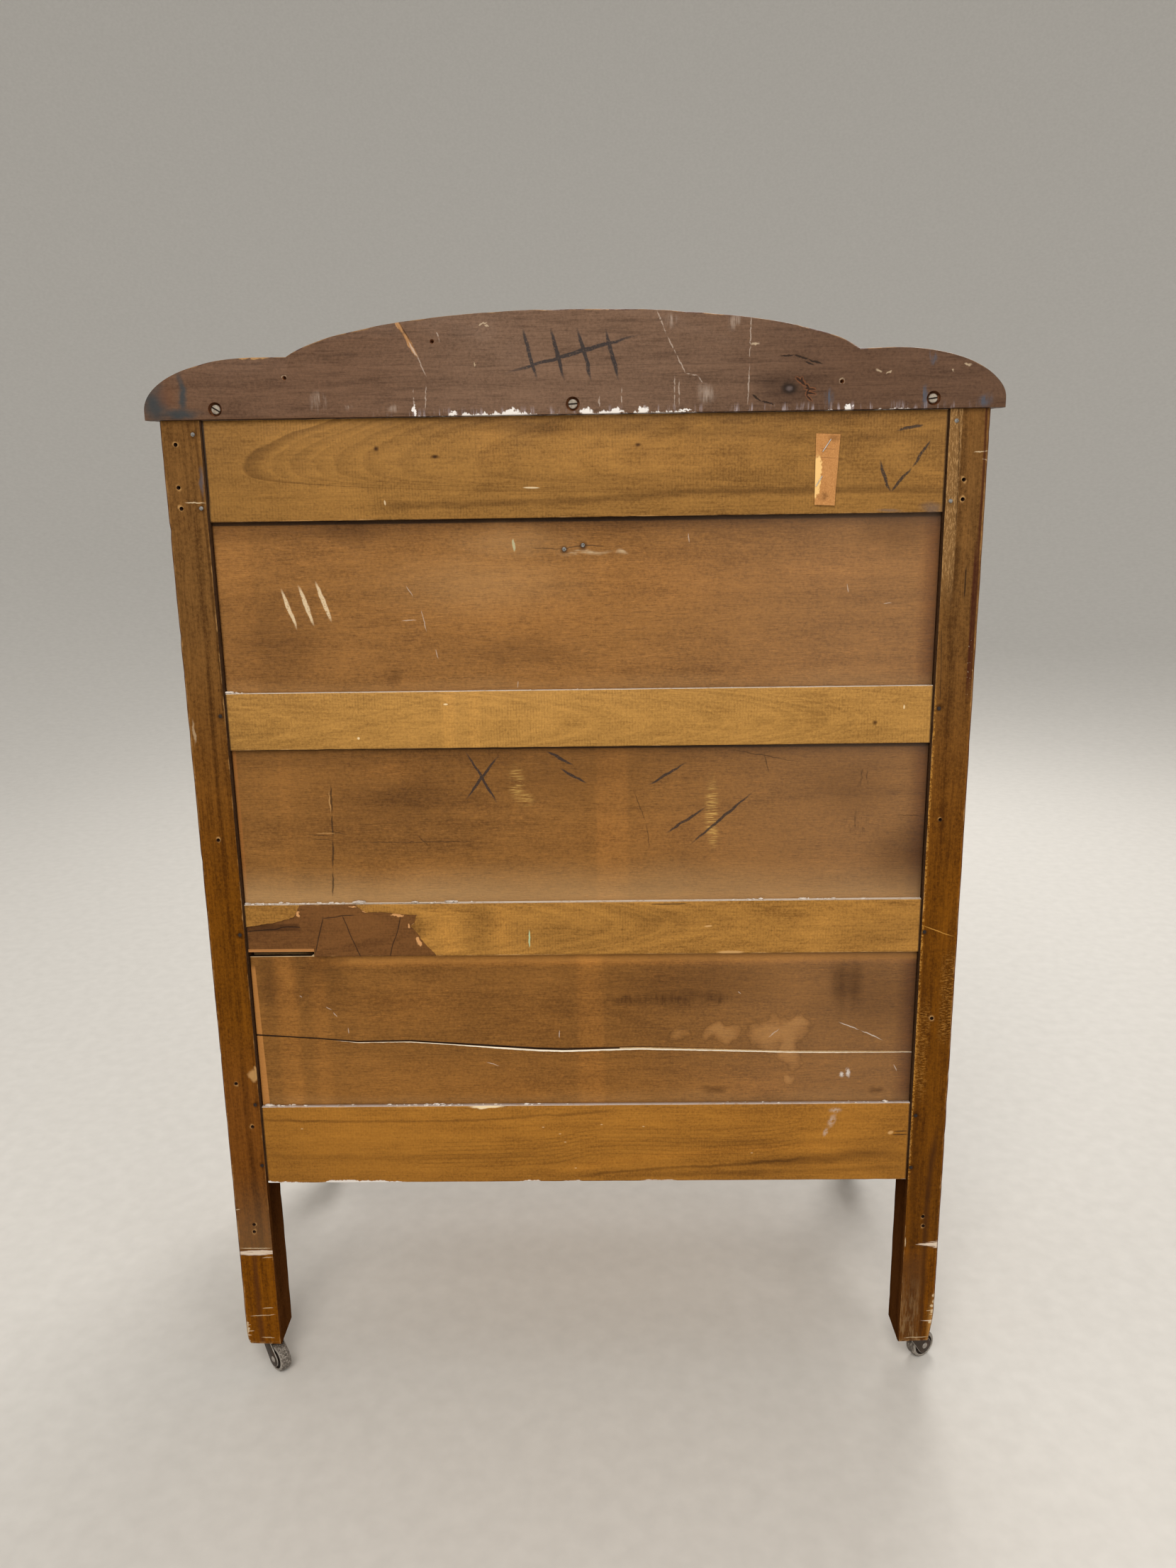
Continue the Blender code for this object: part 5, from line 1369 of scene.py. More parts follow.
def carve(bm, cutters):
    """Cuts closed shapes out of a bmesh. The cut faces keep the cutters' finish number."""
    held = []
    for source in (bm, cutters):
        mesh = bpy.data.meshes.new("scrap")
        bmesh.ops.recalc_face_normals(source, faces=source.faces)
        source.to_mesh(mesh)
        source.free()
        mesh.materials.append(None)
        mesh.materials.append(None)
        held.append(placed("scrap", mesh))
    cut = held[0].modifiers.new("cut", "BOOLEAN")
    cut.object = held[1]
    cut.solver = "EXACT"
    cut.material_mode = "INDEX"
    graph = bpy.context.evaluated_depsgraph_get()
    shaped = bpy.data.meshes.new_from_object(held[0].evaluated_get(graph))
    result = bmesh.new()
    result.from_mesh(shaped)
    bpy.data.meshes.remove(shaped)
    for made in held:
        mesh = made.data
        bpy.data.objects.remove(made)
        bpy.data.meshes.remove(mesh)
    return result


def turned(profile, steps, closed=False):
    """A lathe shape about Z from (radius, height) points. A closed profile makes a ring."""
    bm = bmesh.new()
    points = [bm.verts.new((radius, 0, height)) for radius, height in profile]
    pairs = list(zip(points, points[1:]))
    if closed:
        pairs.append((points[-1], points[0]))
    edges = [bm.edges.new(pair) for pair in pairs]
    bmesh.ops.spin(
        bm, geom=points + edges, axis=(0, 0, 1), cent=(0, 0, 0), angle=math.tau, steps=steps, use_merge=True
    )
    bmesh.ops.remove_doubles(bm, verts=bm.verts, dist=WELD)
    bmesh.ops.recalc_face_normals(bm, faces=bm.faces)
    return bm


def stood(bm, place, direction=(0, 1, 0), turn=0.0):
    """Turns a shape's Z to a direction, after a turn about Z, and moves it to a place."""
    aim = Vector(direction).to_track_quat("Z", "Y").to_matrix().to_4x4()
    bm.transform(Matrix.Translation(place) @ aim @ Matrix.Rotation(turn, 4, "Z"))
    return bm


def move_swept(bm, swept, step):
    verts = [item for item in swept["geom"] if isinstance(item, bmesh.types.BMVert)]
    bmesh.ops.translate(bm, vec=step, verts=verts)


def sweep(bm, faces, step):
    """Sweeps faces, with their edges, along a step."""
    edges = list(dict.fromkeys(edge for face in faces for edge in face.edges))
    move_swept(bm, bmesh.ops.extrude_face_region(bm, geom=faces + edges), step)


def slab(outline, far, near):
    """A flat piece of the back with an (x, z) outline, from one depth along Y to another."""
    bm = bmesh.new()
    face = bm.faces.new([bm.verts.new((x, far, z)) for x, z in outline])
    move_swept(bm, bmesh.ops.extrude_face_region(bm, geom=[face]), (0, near - far, 0))
    bmesh.ops.recalc_face_normals(bm, faces=bm.faces)
    return bm


def slab_edges(bm):
    """The edges round a slab's two faces."""
    return [edge for edge in bm.edges if abs(edge.verts[0].co.y - edge.verts[1].co.y) < CLOSE]


def piece(name, bm, finishes, body, nodes=(), sharp=35):
    """Makes an object of a bmesh that moves with a body and stands for the CAD nodes given."""
    mesh = bpy.data.meshes.new(name)
    for finish in finishes:
        mesh.materials.append(finish)
    bm.normal_update()
    bm.to_mesh(mesh)
    bm.free()
    mesh.shade_smooth()
    mesh.set_sharp_from_angle(angle=math.radians(sharp))
    made = placed(name, mesh)
    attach(made, body)
    if nodes:
        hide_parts(*nodes)
    return made


def refinish(node, finish):
    """Gives a CAD node that keeps its shape a new finish."""
    materials = frame["nodes"][node].data.materials
    materials.clear()
    materials.append(finish)


NAIL_RADIUS = 0.0022
NAIL_DEPTH = 0.004
HOLE_RADIUS = 0.002
HOLE_DEPTH = 0.006
CUTTER_RISE = 0.002  # how far a cutter stands out of the face it cuts
POST_SLICE = 0.008
POST_EDGE_WEAR = (0.0022, 0.0005, 0.0015)  # reach, rub and nick
RAIL_SLICE = 0.012
RAIL_EDGE_WEAR = (0.0009, 0.0003, 0.0012)
RAIL_EASE = 0.0007
FOOT_WEAR = {"right": (0.003, 0.012), "left": (0.0045, 0.05)}  # how deep and how high


def nail(radius):
    """A flat-headed nail, driven flush."""
    head = [(0, 0.0006), (0.7 * radius, 0.0005), (0.95 * radius, 0.0003), (radius, -0.0002)]
    return turned(head + [(radius, -NAIL_DEPTH), (0, -NAIL_DEPTH)], 14)


def nail_hole(radius):
    mouth = [(0, CUTTER_RISE), (1.15 * radius, CUTTER_RISE), (1.15 * radius, 0), (0.8 * radius, -0.002)]
    return turned(mouth + [(0.5 * radius, -HOLE_DEPTH), (0, -HOLE_DEPTH)], 10)


def chip_foot(bm, side):
    """Wears the outer rear corner of a foot away, high up the leg on the left."""
    low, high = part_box(f"post_rear_{side}")
    outer = max(abs(low.x), abs(high.x))
    depth, height = FOOT_WEAR[side]
    for vert in bm.verts:
        up = (vert.co.z - low.z) / height
        if up < 1 and abs(vert.co.x) > outer - 0.004 and vert.co.y > high.y - 0.004:
            vert.co.x -= SIDES[side] * depth * (1 - up) ** 1.5
            vert.co.y -= 0.5 * depth * (1 - up) ** 1.5


def back_posts(painted_hole_shade, steel):
    shaded = shaded_post_finish()
    for side in SIDES:
        node = f"post_rear_{side}"
        low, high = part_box(node)
        bm = merged(node)
        slice_up(bm, Z, low, high, POST_SLICE)
        cut_across(bm, Z, low.z + 0.004)
        wear_edges(bm, Z, low, high, *POST_EDGE_WEAR)
        chip_foot(bm, side)
        holes, nails = bmesh.new(), bmesh.new()
        # Nail holes, their insides painted dark as shade
        for x, z in POST_HOLES[side]:
            add_to(holes, stood(nail_hole(HOLE_RADIUS), (x, BACK, z)), 1)
        for x, z in POST_NAILS[side]:
            add_to(nails, stood(nail(NAIL_RADIUS), (x, BACK, z)))
        bm = carve(bm, holes)
        bm.normal_update()
        # Faces that look inwards or to the front take the finish that is painted as shade
        for face in bm.faces:
            if face.material_index == 0 and (face.normal.x * SIDES[side] < -0.5 or face.normal.y < -0.5):
                face.material_index = 2
        finishes = [back_post_finish(side), painted_hole_shade, shaded]
        piece(f"back_post_{side}", bm, finishes, "case", [node])
        piece(f"back_post_nails_{side}", nails, [steel], "case")


def back_rails():
    finishes = {
        "back_top_rail": top_rail_finish(),
        "back_upper_rail": upper_rail_finish(),
        "back_bottom_rail": bottom_rail_finish(),
    }
    for node, finish in finishes.items():
        low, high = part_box(node)
        bm = merged(node)
        ease(bm, limit_edges(bm, low, high, (Y, Z)), RAIL_EASE)
        slice_up(bm, X, low, high, RAIL_SLICE)
        wear_edges(bm, X, low, high, *RAIL_EDGE_WEAR)
        piece(node.replace("back_", "") + "_board", bm, [finish], "case", [node])


# The lower rail is plywood, and its face has torn away at one end
PLY = 0.0008
FACE_TEAR = (
    (0.258, 0.628), (0.252, 0.623), (0.246, 0.619), (0.231, 0.62), (0.207, 0.617), (0.188, 0.616),
    (0.191, 0.608), (0.196, 0.602), (0.19, 0.595), (0.182, 0.582), (0.17, 0.569),
)
PATCH_TEAR = ((0.323, 0.628), (0.326, 0.622), (0.331, 0.614), (0.353, 0.608), (0.38, 0.604))
BAND_TEAR = ((0.334, 0.628), (0.328, 0.613), (0.323, 0.6), (0.315, 0.587), (0.306, 0.584), (0.31, 0.568))
BAND_CRACKS = (
    (Z, ((0.563, 0.2555), (0.575, 0.26), (0.59, 0.266), (0.602, 0.2695), (0.6155, 0.2742))),
    (Z, ((0.563, 0.2222), (0.58, 0.218), (0.594, 0.2122), (0.6125, 0.2078))),
    (Z, ((0.57, 0.3085), (0.59, 0.303), (0.6125, 0.297))),
    (X, ((0.2965, 0.6125), (0.284, 0.6135), (0.274, 0.6155), (0.262, 0.616))),
)
LIP_START, LIP_END = 0.3098, 0.388  # where the groove's lip is missing
SLOT_BOTTOM, SLOT_TOP = 0.564, 0.5712  # the slot that it left, painted dark as shade
CORE_CRACKS = ((X, ((0.386, 0.5965), (0.365, 0.5985), (0.354, 0.599), (0.34, 0.6022), (0.322, 0.6012))),)


def torn(points, reach, seed):
    """A tear with ragged splinters between its given points."""
    draw = random.Random(seed)
    edge = []
    for (x, z), (next_x, next_z) in zip(points, points[1:]):
        edge.append((x, z))
        steps = max(2, round(math.hypot(next_x - x, next_z - z) / 0.003))
        for step in range(1, steps):
            share = step / steps
            push = draw.uniform(-reach, reach)
            edge.append((x + (next_x - x) * share + push, z + (next_z - z) * share + 0.5 * push))
    return edge + [points[-1]]


def veneer_finish(name, cracks, tones, shift, shade):
    coat = rail_base("back_lower_rail", tones, (-0.125, 0.602, 0.01), shift, shade, 0.3)
    coat.material.name = name
    split = coat.either([coat.streak(points, 0.0022, along, 0.0004) for along, points in cracks])
    coat.paint(split, SOOT_AND_SHADOW, 0.85)
    coat.press(split, 1.5)
    return coat


def face_veneer_finish():
    marks = ((X, ((-0.08, 0.626), (-0.12, 0.6265))),)
    coat = veneer_finish("lower_rail_veneer", marks, GOLDEN_LOWER, 8.0, 0.26)
    ragged = coat.warped(0.003, 40.0)
    growth_rings(coat, ((0.0, 0.14), (0.028, 0.2), (0.046, 0.18), (0.092, 0.16), (0.14, 0.14)), 0.024, 0.05)
    coat.darken(coat.spots(((0.117, 0.597, 0.026, 0.07), (0.19, 0.6, 0.014, 0.03)), 1.0, ragged), 0.25)
    coat.lighten(coat.spots(((0.152, 0.59, 0.018, 0.06), (0.09, 0.6, 0.02, 0.06)), 1.0, ragged), 0.25)
    clouds = ((0.02, 0.59, 0.09, 0.03), (-0.1, 0.61, 0.1, 0.02), (-0.33, 0.59, 0.07, 0.03))
    coat.darken(coat.spots(clouds, 1.0, ragged), 0.2)
    drip = coat.lines((((0.06, 0.597), (0.0605, 0.575)),), 0.0024, coat.warped(0.0005, 200.0))
    coat.paint(drip, tone(176, 200, 160), 0.85)
    bare = ((-0.171, 0.567, 0.018, 0.0022), (-0.145, 0.599, 0.0055, 0.0014, 0.1))
    coat.paint(coat.spots(bare, 0.4), RAW, 0.95)
    return rail_done(coat)


def missing_lip():
    """The cutter for the stretch of the groove's lip that has broken off and left a slot, its cut faces
    painted dark as shade.
    """
    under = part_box("back_lower_rail")[0].z - 0.004
    outline = ((LIP_START, under), (LIP_END, under), (LIP_END, SLOT_TOP), (LIP_START, SLOT_TOP))
    bm = slab(outline, PANEL_FACE - 0.01, RAIL_FACE + 0.004)
    for face in bm.faces:
        face.material_index = 1
    return bm


def core_finish():
    coat = veneer_finish("lower_rail_core_wood", CORE_CRACKS, CROSSBAND, 31.0, 0.1)
    lip = coat.times(coat.band(Z, SLOT_TOP, SLOT_TOP + 0.0038, 0.0003), coat.where(X, 0.3095, 0.3105))
    coat.paint(lip, tone(176, 122, 70), 0.85)
    coat.darken(coat.times(coat.band(Z, 0.597, 0.606, 0.001), coat.where(X, 0.318, 0.33)), 0.5)
    return rail_done(coat)


def crossband_finish():
    coat = veneer_finish("lower_rail_crossband_wood", BAND_CRACKS, CROSSBAND, 27.0, 0.1)
    chips = (
        (0.325, 0.618, 0.002, 0.004), (0.248, 0.6205, 0.004, 0.0012), (0.211, 0.6155, 0.009, 0.0022, -0.1),
        (0.198, 0.602, 0.0014, 0.003), (0.188, 0.583, 0.003, 0.0065, 0.5), (0.262, 0.626, 0.005, 0.0012),
    )
    coat.paint(coat.spots(chips, 0.3, coat.warped(0.0016, 220.0)), tone(216, 160, 104), 0.85)
    return rail_done(coat)


def lower_rail(painted_hole_shade):
    node = "back_lower_rail"
    low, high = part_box(node)
    core_face = RAIL_FACE - 2 * PLY
    core = merged(node)
    for vert in core.verts:
        if vert.co.y > RAIL_FACE - CLOSE:
            vert.co.y = core_face
    # The missing lip's cut faces take the painted shade of the slot
    core = carve(core, missing_lip())
    piece("lower_rail_core", core, [core_finish(), painted_hole_shade], "case", [node])
    end = HALF_OPENING - 0.0004
    bottom, top = low.z + 0.0002, high.z - 0.0002
    band = [(0.335, top)] + torn(BAND_TEAR, 0.0006, 3) + [(0.31, bottom), (0.16, bottom), (0.16, top)]
    face = [(-end, top), (0.258, top)] + torn(FACE_TEAR, 0.0009, 5) + [(0.168, bottom), (-end, bottom)]
    corner = [(0.323, top)] + torn(PATCH_TEAR, 0.0007, 9) + [(end, 0.603), (end, top)]
    raw = plain_finish("torn_veneer_edge", RAW, TORN, 300.0, 0.7)
    layers = (
        ("lower_rail_crossband", [band], RAIL_FACE - PLY, crossband_finish()),
        ("lower_rail_face_veneer", [face, corner], RAIL_FACE, face_veneer_finish()),
    )
    for name, outlines, near, finish in layers:
        bm = bmesh.new()
        for outline in outlines:
            add_to(bm, slab(outline, core_face, near))
        for side in bm.faces:
            inside = low.z + 0.001 < side.calc_center_median().z < high.z - 0.001
            if abs(side.normal.y) < 0.5 and inside:
                side.material_index = 1
        piece(name, bm, [finish, raw], "case", sharp=20)


def height_at(points, x):
    """The height of a line through (x, height) points."""
    points = sorted(points)
    for (start, low), (end, high) in zip(points, points[1:]):
        if x <= end:
            share = max(0.0, (x - start) / (end - start))
            return low + (high - low) * share
    return points[-1][1]


def ramp_between(value, start, end):
    """0 at the start, 1 at the end and straight between."""
    return min(1.0, max(0.0, (value - start) / (end - start)))


PANEL_COLUMNS = 130
PANEL_ROWS = 14
PANEL_BOW = 0.0006
CRACK_SHUT = -0.04  # to the left of this the crack has closed to a pale line


def panel_sheet(node, bottom_edge, top_edge, lift):
    """A thin, slightly wavy sheet between two edges that are functions of x."""
    low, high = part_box(node)
    bm = bmesh.new()
    bmesh.ops.create_grid(bm, x_segments=PANEL_COLUMNS, y_segments=PANEL_ROWS, size=0.5)
    for vert in bm.verts:
        x = low.x + (high.x - low.x) * (vert.co.x + 0.5)
        bottom, top = bottom_edge(x), top_edge(x)
        z = bottom + (top - bottom) * (vert.co.y + 0.5)
        inset = min(HALF_OPENING - abs(x), z - low.z - 0.008, high.z - 0.008 - z)
        free = min(1.0, max(0.0, inset / 0.04))
        wave = noise.noise(Vector((x * 5, low.z * 9, z * 9)))
        vert.co = (x, high.y + PANEL_BOW * free * wave + free * lift(x, z), z)
    sweep(bm, bm.faces[:], (0, low.y - high.y, 0))
    bmesh.ops.recalc_face_normals(bm, faces=bm.faces)
    return bm


def back_panels(raw, painted_hole_shade, steel):
    finishes = {"upper": upper_panel_finish(), "middle": middle_panel_finish()}
    for name, finish in finishes.items():
        node = f"back_panel_{name}"
        low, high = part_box(node)
        bm = panel_sheet(node, lambda x: low.z, lambda x: high.z, lambda x, z: 0.0)
        piece(f"panel_{name}", bm, [finish], "case", [node])
    nails = bmesh.new()
    for x, z in ((0.012, 1.025), (-0.008, 1.029)):
        add_to(nails, stood(nail(NAIL_RADIUS), (x, PANEL_FACE + 0.0006, z)))
    piece("panel_nails", nails, [steel], "case")
    node = "back_panel_lower"
    low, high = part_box(node)
    finish = lower_panel_finish()

    def opening(x):
        return 0.0005 + 0.0006 * ramp_between(x, CRACK_SHUT, 0.1)

    def bared_top(x):
        return SLOT_BOTTOM if LIP_START < x < LIP_END else high.z

    def near_crack(x, z):
        return max(0.0, 1 - abs(z - height_at(CRACK, x)) / 0.05)

    plates = (
        ("panel_lower_top", lambda x: height_at(CRACK, x) + opening(x), bared_top,
         lambda x, z: 0.0006 * near_crack(x, z) * ramp_between(x, 0.1, 0.3)),
        ("panel_lower_bottom", lambda x: low.z, lambda x: height_at(CRACK, x),
         lambda x, z: 0.0012 * near_crack(x, z) * ramp_between(x, 0.2, 0.0)),
    )
    for name, bottom, top, lift in plates:
        bm = panel_sheet(node, bottom, top, lift)
        # Faces in the open crack, and the panel's top faces in the slot, take the near-black painted as
        # shade; where the crack has closed, bare wood
        for face in bm.faces:
            middle = face.calc_center_median()
            if abs(face.normal.z) > 0.4 and abs(middle.z - height_at(CRACK, middle.x)) < 0.004:
                face.material_index = 2 if middle.x > CRACK_SHUT else 1
            elif face.normal.z > 0.4 and middle.x > LIP_START:
                face.material_index = 2
        piece(name, bm, [finish, raw, painted_hole_shade], "case", [node], sharp=25)


# The gallery's outline, as the solid's
END_RISE = 0.0086
END_LENGTH = 0.116
SHOULDER = 0.0602
SHOULDER_LENGTH = 0.0344
ARCH_HIDDEN = 0.0086
OUTLINE_STEPS = 44
COUNTERBORE_RADIUS = 0.0072
COUNTERBORE_DEPTH = 0.006
SCREW_SPACING = 0.369
SCREW_HEIGHT = 0.01
SCREW_RADIUS = 0.0047
SCREW_HEAD = 0.0034
SCREW_SLOT = (0.0016, 0.0013)  # its width and depth
SCREW_SUNK = 0.0024  # how far the heads lie below the board's face
SCREW_TURNS = {-1: 0.12, 0: 0.06, 1: -0.55}
GALLERY_HOLES = ((0.295, 1.202), (-0.275, 1.19), (0.142, 1.235))
GOUGE = ((0.181, 1.262), (0.158, 1.222))


def gallery_outline():
    """The gallery's edge as (x, height): round ends, level shoulders and an arch."""
    low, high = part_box("gallery")
    half, peak = high.x, high.z - low.z
    end_middle = half - END_LENGTH
    points = [(half, 0.0)]
    for step in range(OUTLINE_STEPS + 1):
        angle = math.pi / 2 * step / OUTLINE_STEPS
        rise = END_RISE + (SHOULDER - END_RISE) * math.sin(angle)
        points.append((end_middle + END_LENGTH * math.cos(angle), rise))
    foot = end_middle - SHOULDER_LENGTH
    reach = foot + ARCH_HIDDEN
    start = math.acos(foot / reach)
    rise = (peak - SHOULDER) / (1 - math.sin(start))
    for step in range(OUTLINE_STEPS + 1):
        angle = start + (math.pi / 2 - start) * step / OUTLINE_STEPS
        points.append((reach * math.cos(angle), peak - rise * (1 - math.sin(angle))))
    mirrored = [(-across, height) for across, height in reversed(points[:-1])]
    return [(across, low.z + height) for across, height in points + mirrored]


def gouge_cutter():
    (x, z), (end_x, end_z) = GOUGE
    bm = bmesh.new()
    bmesh.ops.create_icosphere(bm, subdivisions=3, radius=1.0)
    bmesh.ops.scale(bm, vec=(math.hypot(end_x - x, end_z - z) / 2, 0.0022, 0.0021), verts=bm.verts)
    for vert in bm.verts:
        vert.co.z += 0.0007 * noise.noise(vert.co * 260)
    lean = Matrix.Rotation(-math.atan2(end_z - z, end_x - x), 4, "Y")
    bm.transform(Matrix.Translation(((x + end_x) / 2, GALLERY_FACE + 0.0002, (z + end_z) / 2)) @ lean)
    return bm


def gallery_board(raw):
    low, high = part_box("gallery")
    bm = slab(gallery_outline(), low.y, high.y)
    ease(bm, slab_edges(bm), 0.0012)
    for vert in bm.verts:
        if vert.co.y > high.y - 0.002 and vert.co.z > low.z + 0.012:
            rub = max(0.0, noise.noise(vert.co * 38) + 0.1)
            vert.co.y -= 0.0018 * rub if vert.co.y < high.y - 0.0002 else 0.0
            vert.co.z -= 0.0009 * rub
    cutters = bmesh.new()
    radius, depth = COUNTERBORE_RADIUS, COUNTERBORE_DEPTH
    bore = [(0, CUTTER_RISE), (radius, CUTTER_RISE), (radius, -depth), (0, -depth)]
    heads = bmesh.new()
    for number, turn in SCREW_TURNS.items():  # -1, 0 and 1 count the screws from the middle
        place = Vector((number * SCREW_SPACING, high.y, low.z + SCREW_HEIGHT))
        add_to(cutters, stood(turned(bore, 32), place), 1)
        add_to(heads, stood(screw_head(), place - Vector((0, SCREW_SUNK, 0)), turn=turn))
    for x, z in GALLERY_HOLES:
        add_to(cutters, stood(nail_hole(HOLE_RADIUS), (x, high.y, z)), 1)
    add_to(cutters, gouge_cutter(), 0)
    piece("gallery_board", carve(bm, cutters), [gallery_finish(), raw], "case", ["gallery"])
    steel = steel_finish("screw_steel", tone(172, 162, 148), 0.3, 0.4, 0.4, high.y - SCREW_SUNK - 0.0007)
    piece("gallery_screws", heads, [steel], "case")


def screw_head():
    """A flat screw head with one slot across it."""
    radius = SCREW_RADIUS
    rim = [(0, 0), (0.86 * radius, -0.0001), (radius, -0.0006), (radius, -0.0012)]
    width, depth = SCREW_SLOT
    slot = bmesh.new()
    bmesh.ops.create_cube(slot, size=1.0)
    bmesh.ops.scale(slot, vec=(3 * radius, width, 2 * depth), verts=slot.verts)
    return carve(turned(rim + [(0.5 * radius, -SCREW_HEAD), (0, -SCREW_HEAD)], 32), slot)


# The paper tag's corners as (x, z), and its staples
TAG = ((-0.2515, 1.0675), (-0.2722, 1.0665), (-0.2762, 1.1385), (-0.2512, 1.1395))
STAPLES = (((-0.2665, 1.1335), (-0.2585, 1.1215)), ((-0.2585, 1.0965), (-0.2525, 1.0865)))
PAPER = 0.00025
WIRE = 0.00045


def paper_tag(steel):
    low_left, low_right, high_right, high_left = (Vector((x, 0, z)) for x, z in TAG)
    bm = bmesh.new()
    bmesh.ops.create_grid(bm, x_segments=8, y_segments=20, size=0.5)
    for vert in bm.verts:
        u, v = vert.co.x + 0.5, vert.co.y + 0.5
        point = low_left.lerp(low_right, u).lerp(high_left.lerp(high_right, u), v)
        curl = 0.0016 * max(0.0, u - 0.55) ** 2 * 4 + 0.0014 * max(0.0, 0.12 - v) * 8
        ripple = 0.00035 * (1 + noise.noise(Vector((u * 2, v * 6, 2))))
        vert.co = (point.x, RAIL_FACE + 0.0003 + curl + ripple, point.z)
    sweep(bm, bm.faces[:], (0, PAPER, 0))
    bmesh.ops.recalc_face_normals(bm, faces=bm.faces)
    piece("paper_tag", bm, [paper_finish()], "case", sharp=60)
    wires = bmesh.new()
    for start, end in STAPLES:
        down = [(start, -0.002), (start, 0.0012), (start, 0.0019)]
        add_to(wires, wire(down + [(end, height) for _, height in reversed(down)]))
    piece("tag_staples", wires, [steel], "case")


def wire(bends):
    """A thin wire through places on the back given as ((x, z), height over the rail's face)."""
    data = bpy.data.curves.new("wire", "CURVE")
    data.dimensions = "3D"
    data.bevel_depth = WIRE
    data.bevel_resolution = 2
    data.use_fill_caps = True
    spline = data.splines.new("POLY")
    spline.points.add(len(bends) - 1)
    for point, ((x, z), height) in zip(spline.points, bends):
        point.co = (x, RAIL_FACE + height, z, 1)
    scrap = bpy.data.objects.new("wire", data)
    mesh = bpy.data.meshes.new_from_object(scrap)
    bm = bmesh.new()
    bm.from_mesh(mesh)
    bpy.data.objects.remove(scrap)
    bpy.data.meshes.remove(mesh)
    bpy.data.curves.remove(data)
    return bm


# Crumbs of plaster dust on the ledges: the stretch along x, how many, the largest radius
CRUMBS = {
    "back_lower_rail": ((0.28, 0.385, 46, 0.0022), (0.1, 0.28, 22, 0.0018), (-0.33, -0.11, 30, 0.0016)),
    "back_bottom_rail": ((0.02, 0.385, 44, 0.0018), (0.15, 0.19, 14, 0.0022), (-0.384, -0.16, 18, 0.0014)),
    "back_upper_rail": ((0.365, 0.386, 6, 0.0018), (-0.38, 0.25, 14, 0.0007)),
}
# Larger lumps: their place along x and their radius
LUMPS = {
    "back_lower_rail": (
        (0.256, 0.0042), (0.251, 0.0028), (0.19, 0.0032), (0.15, 0.0034), (0.144, 0.0026), (0.372, 0.0026),
        (-0.205, 0.0024), (-0.252, 0.0026),
    ),
    "back_upper_rail": ((0.3845, 0.0036),),
    "back_bottom_rail": ((0.379, 0.003), (0.17, 0.0028), (-0.357, 0.0026)),
}


def crumb(bm, draw, x, ledge, top, radius):
    """One squashed, uneven crumb that lies on a ledge."""
    verts = bmesh.ops.create_icosphere(bm, subdivisions=1, radius=radius)["verts"]
    for vert in verts:
        vert.co *= draw.uniform(0.45, 1.25)
    bmesh.ops.scale(bm, vec=(draw.uniform(0.9, 2.4), 0.9, 0.55), verts=verts)
    bmesh.ops.translate(bm, vec=(x, ledge, top + 0.3 * radius), verts=verts)


def ledge_dust():
    draw = random.Random(11)
    bm = bmesh.new()
    for node, stretches in CRUMBS.items():
        for start, end, count, largest in stretches:
            for _ in range(count):
                radius = largest * draw.uniform(0.25, 1.0)
                ledge = PANEL_FACE + (RAIL_FACE - PANEL_FACE) * draw.uniform(0.25, 0.85)
                crumb(bm, draw, draw.uniform(start, end), ledge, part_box(node)[1].z, radius)
    for node, lumps in LUMPS.items():
        for x, radius in lumps:
            crumb(bm, draw, x, (PANEL_FACE + RAIL_FACE) / 2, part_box(node)[1].z, radius)
    dust = plain_finish("plaster_crumbs", tone(190, 176, 164), tone(230, 222, 214), 500.0, 0.9)
    piece("ledge_crumbs", bm, [dust], "case", sharp=60)


# Turned knobs, as the solids', and their place on each drawer front
KNOB_REACH = 0.03
KNOB_RADIUS = 0.019
KNOB_HEAD_AT = 0.02
KNOB_NECK_RADIUS = 0.009
KNOB_NECK_AT = 0.01
KNOB_FOOT_RADIUS = 0.013
KNOB_FOOT_HEIGHT = 0.003
KNOB_SHANK_RADIUS = 0.006
KNOB_SHANK = 0.015
KNOB_GAP = 0.0003  # between its foot and the drawer front
KNOB_STEPS = 12
KNOB_REACH_OUT = 0.235


def knob():
    profile = [(0, -KNOB_SHANK), (KNOB_SHANK_RADIUS, -KNOB_SHANK)]
    profile += [(KNOB_SHANK_RADIUS, KNOB_GAP), (KNOB_FOOT_RADIUS, KNOB_GAP)]
    curve = (
        (KNOB_FOOT_RADIUS, KNOB_FOOT_HEIGHT, KNOB_NECK_RADIUS, KNOB_NECK_AT),
        (KNOB_NECK_RADIUS, KNOB_NECK_AT, KNOB_RADIUS, KNOB_HEAD_AT),
    )
    for radius, height, next_radius, next_height in curve:
        for step in range(KNOB_STEPS):
            share = step / KNOB_STEPS
            swell = (1 - math.cos(math.pi * share)) / 2
            profile.append((radius + (next_radius - radius) * swell, height + (next_height - height) * share))
    for step in range(KNOB_STEPS + 1):
        angle = math.pi / 2 * step / KNOB_STEPS
        dome = (KNOB_REACH - KNOB_HEAD_AT) * math.sin(angle)
        profile.append((KNOB_RADIUS * math.cos(angle), KNOB_HEAD_AT + dome))
    return turned(profile, 48)


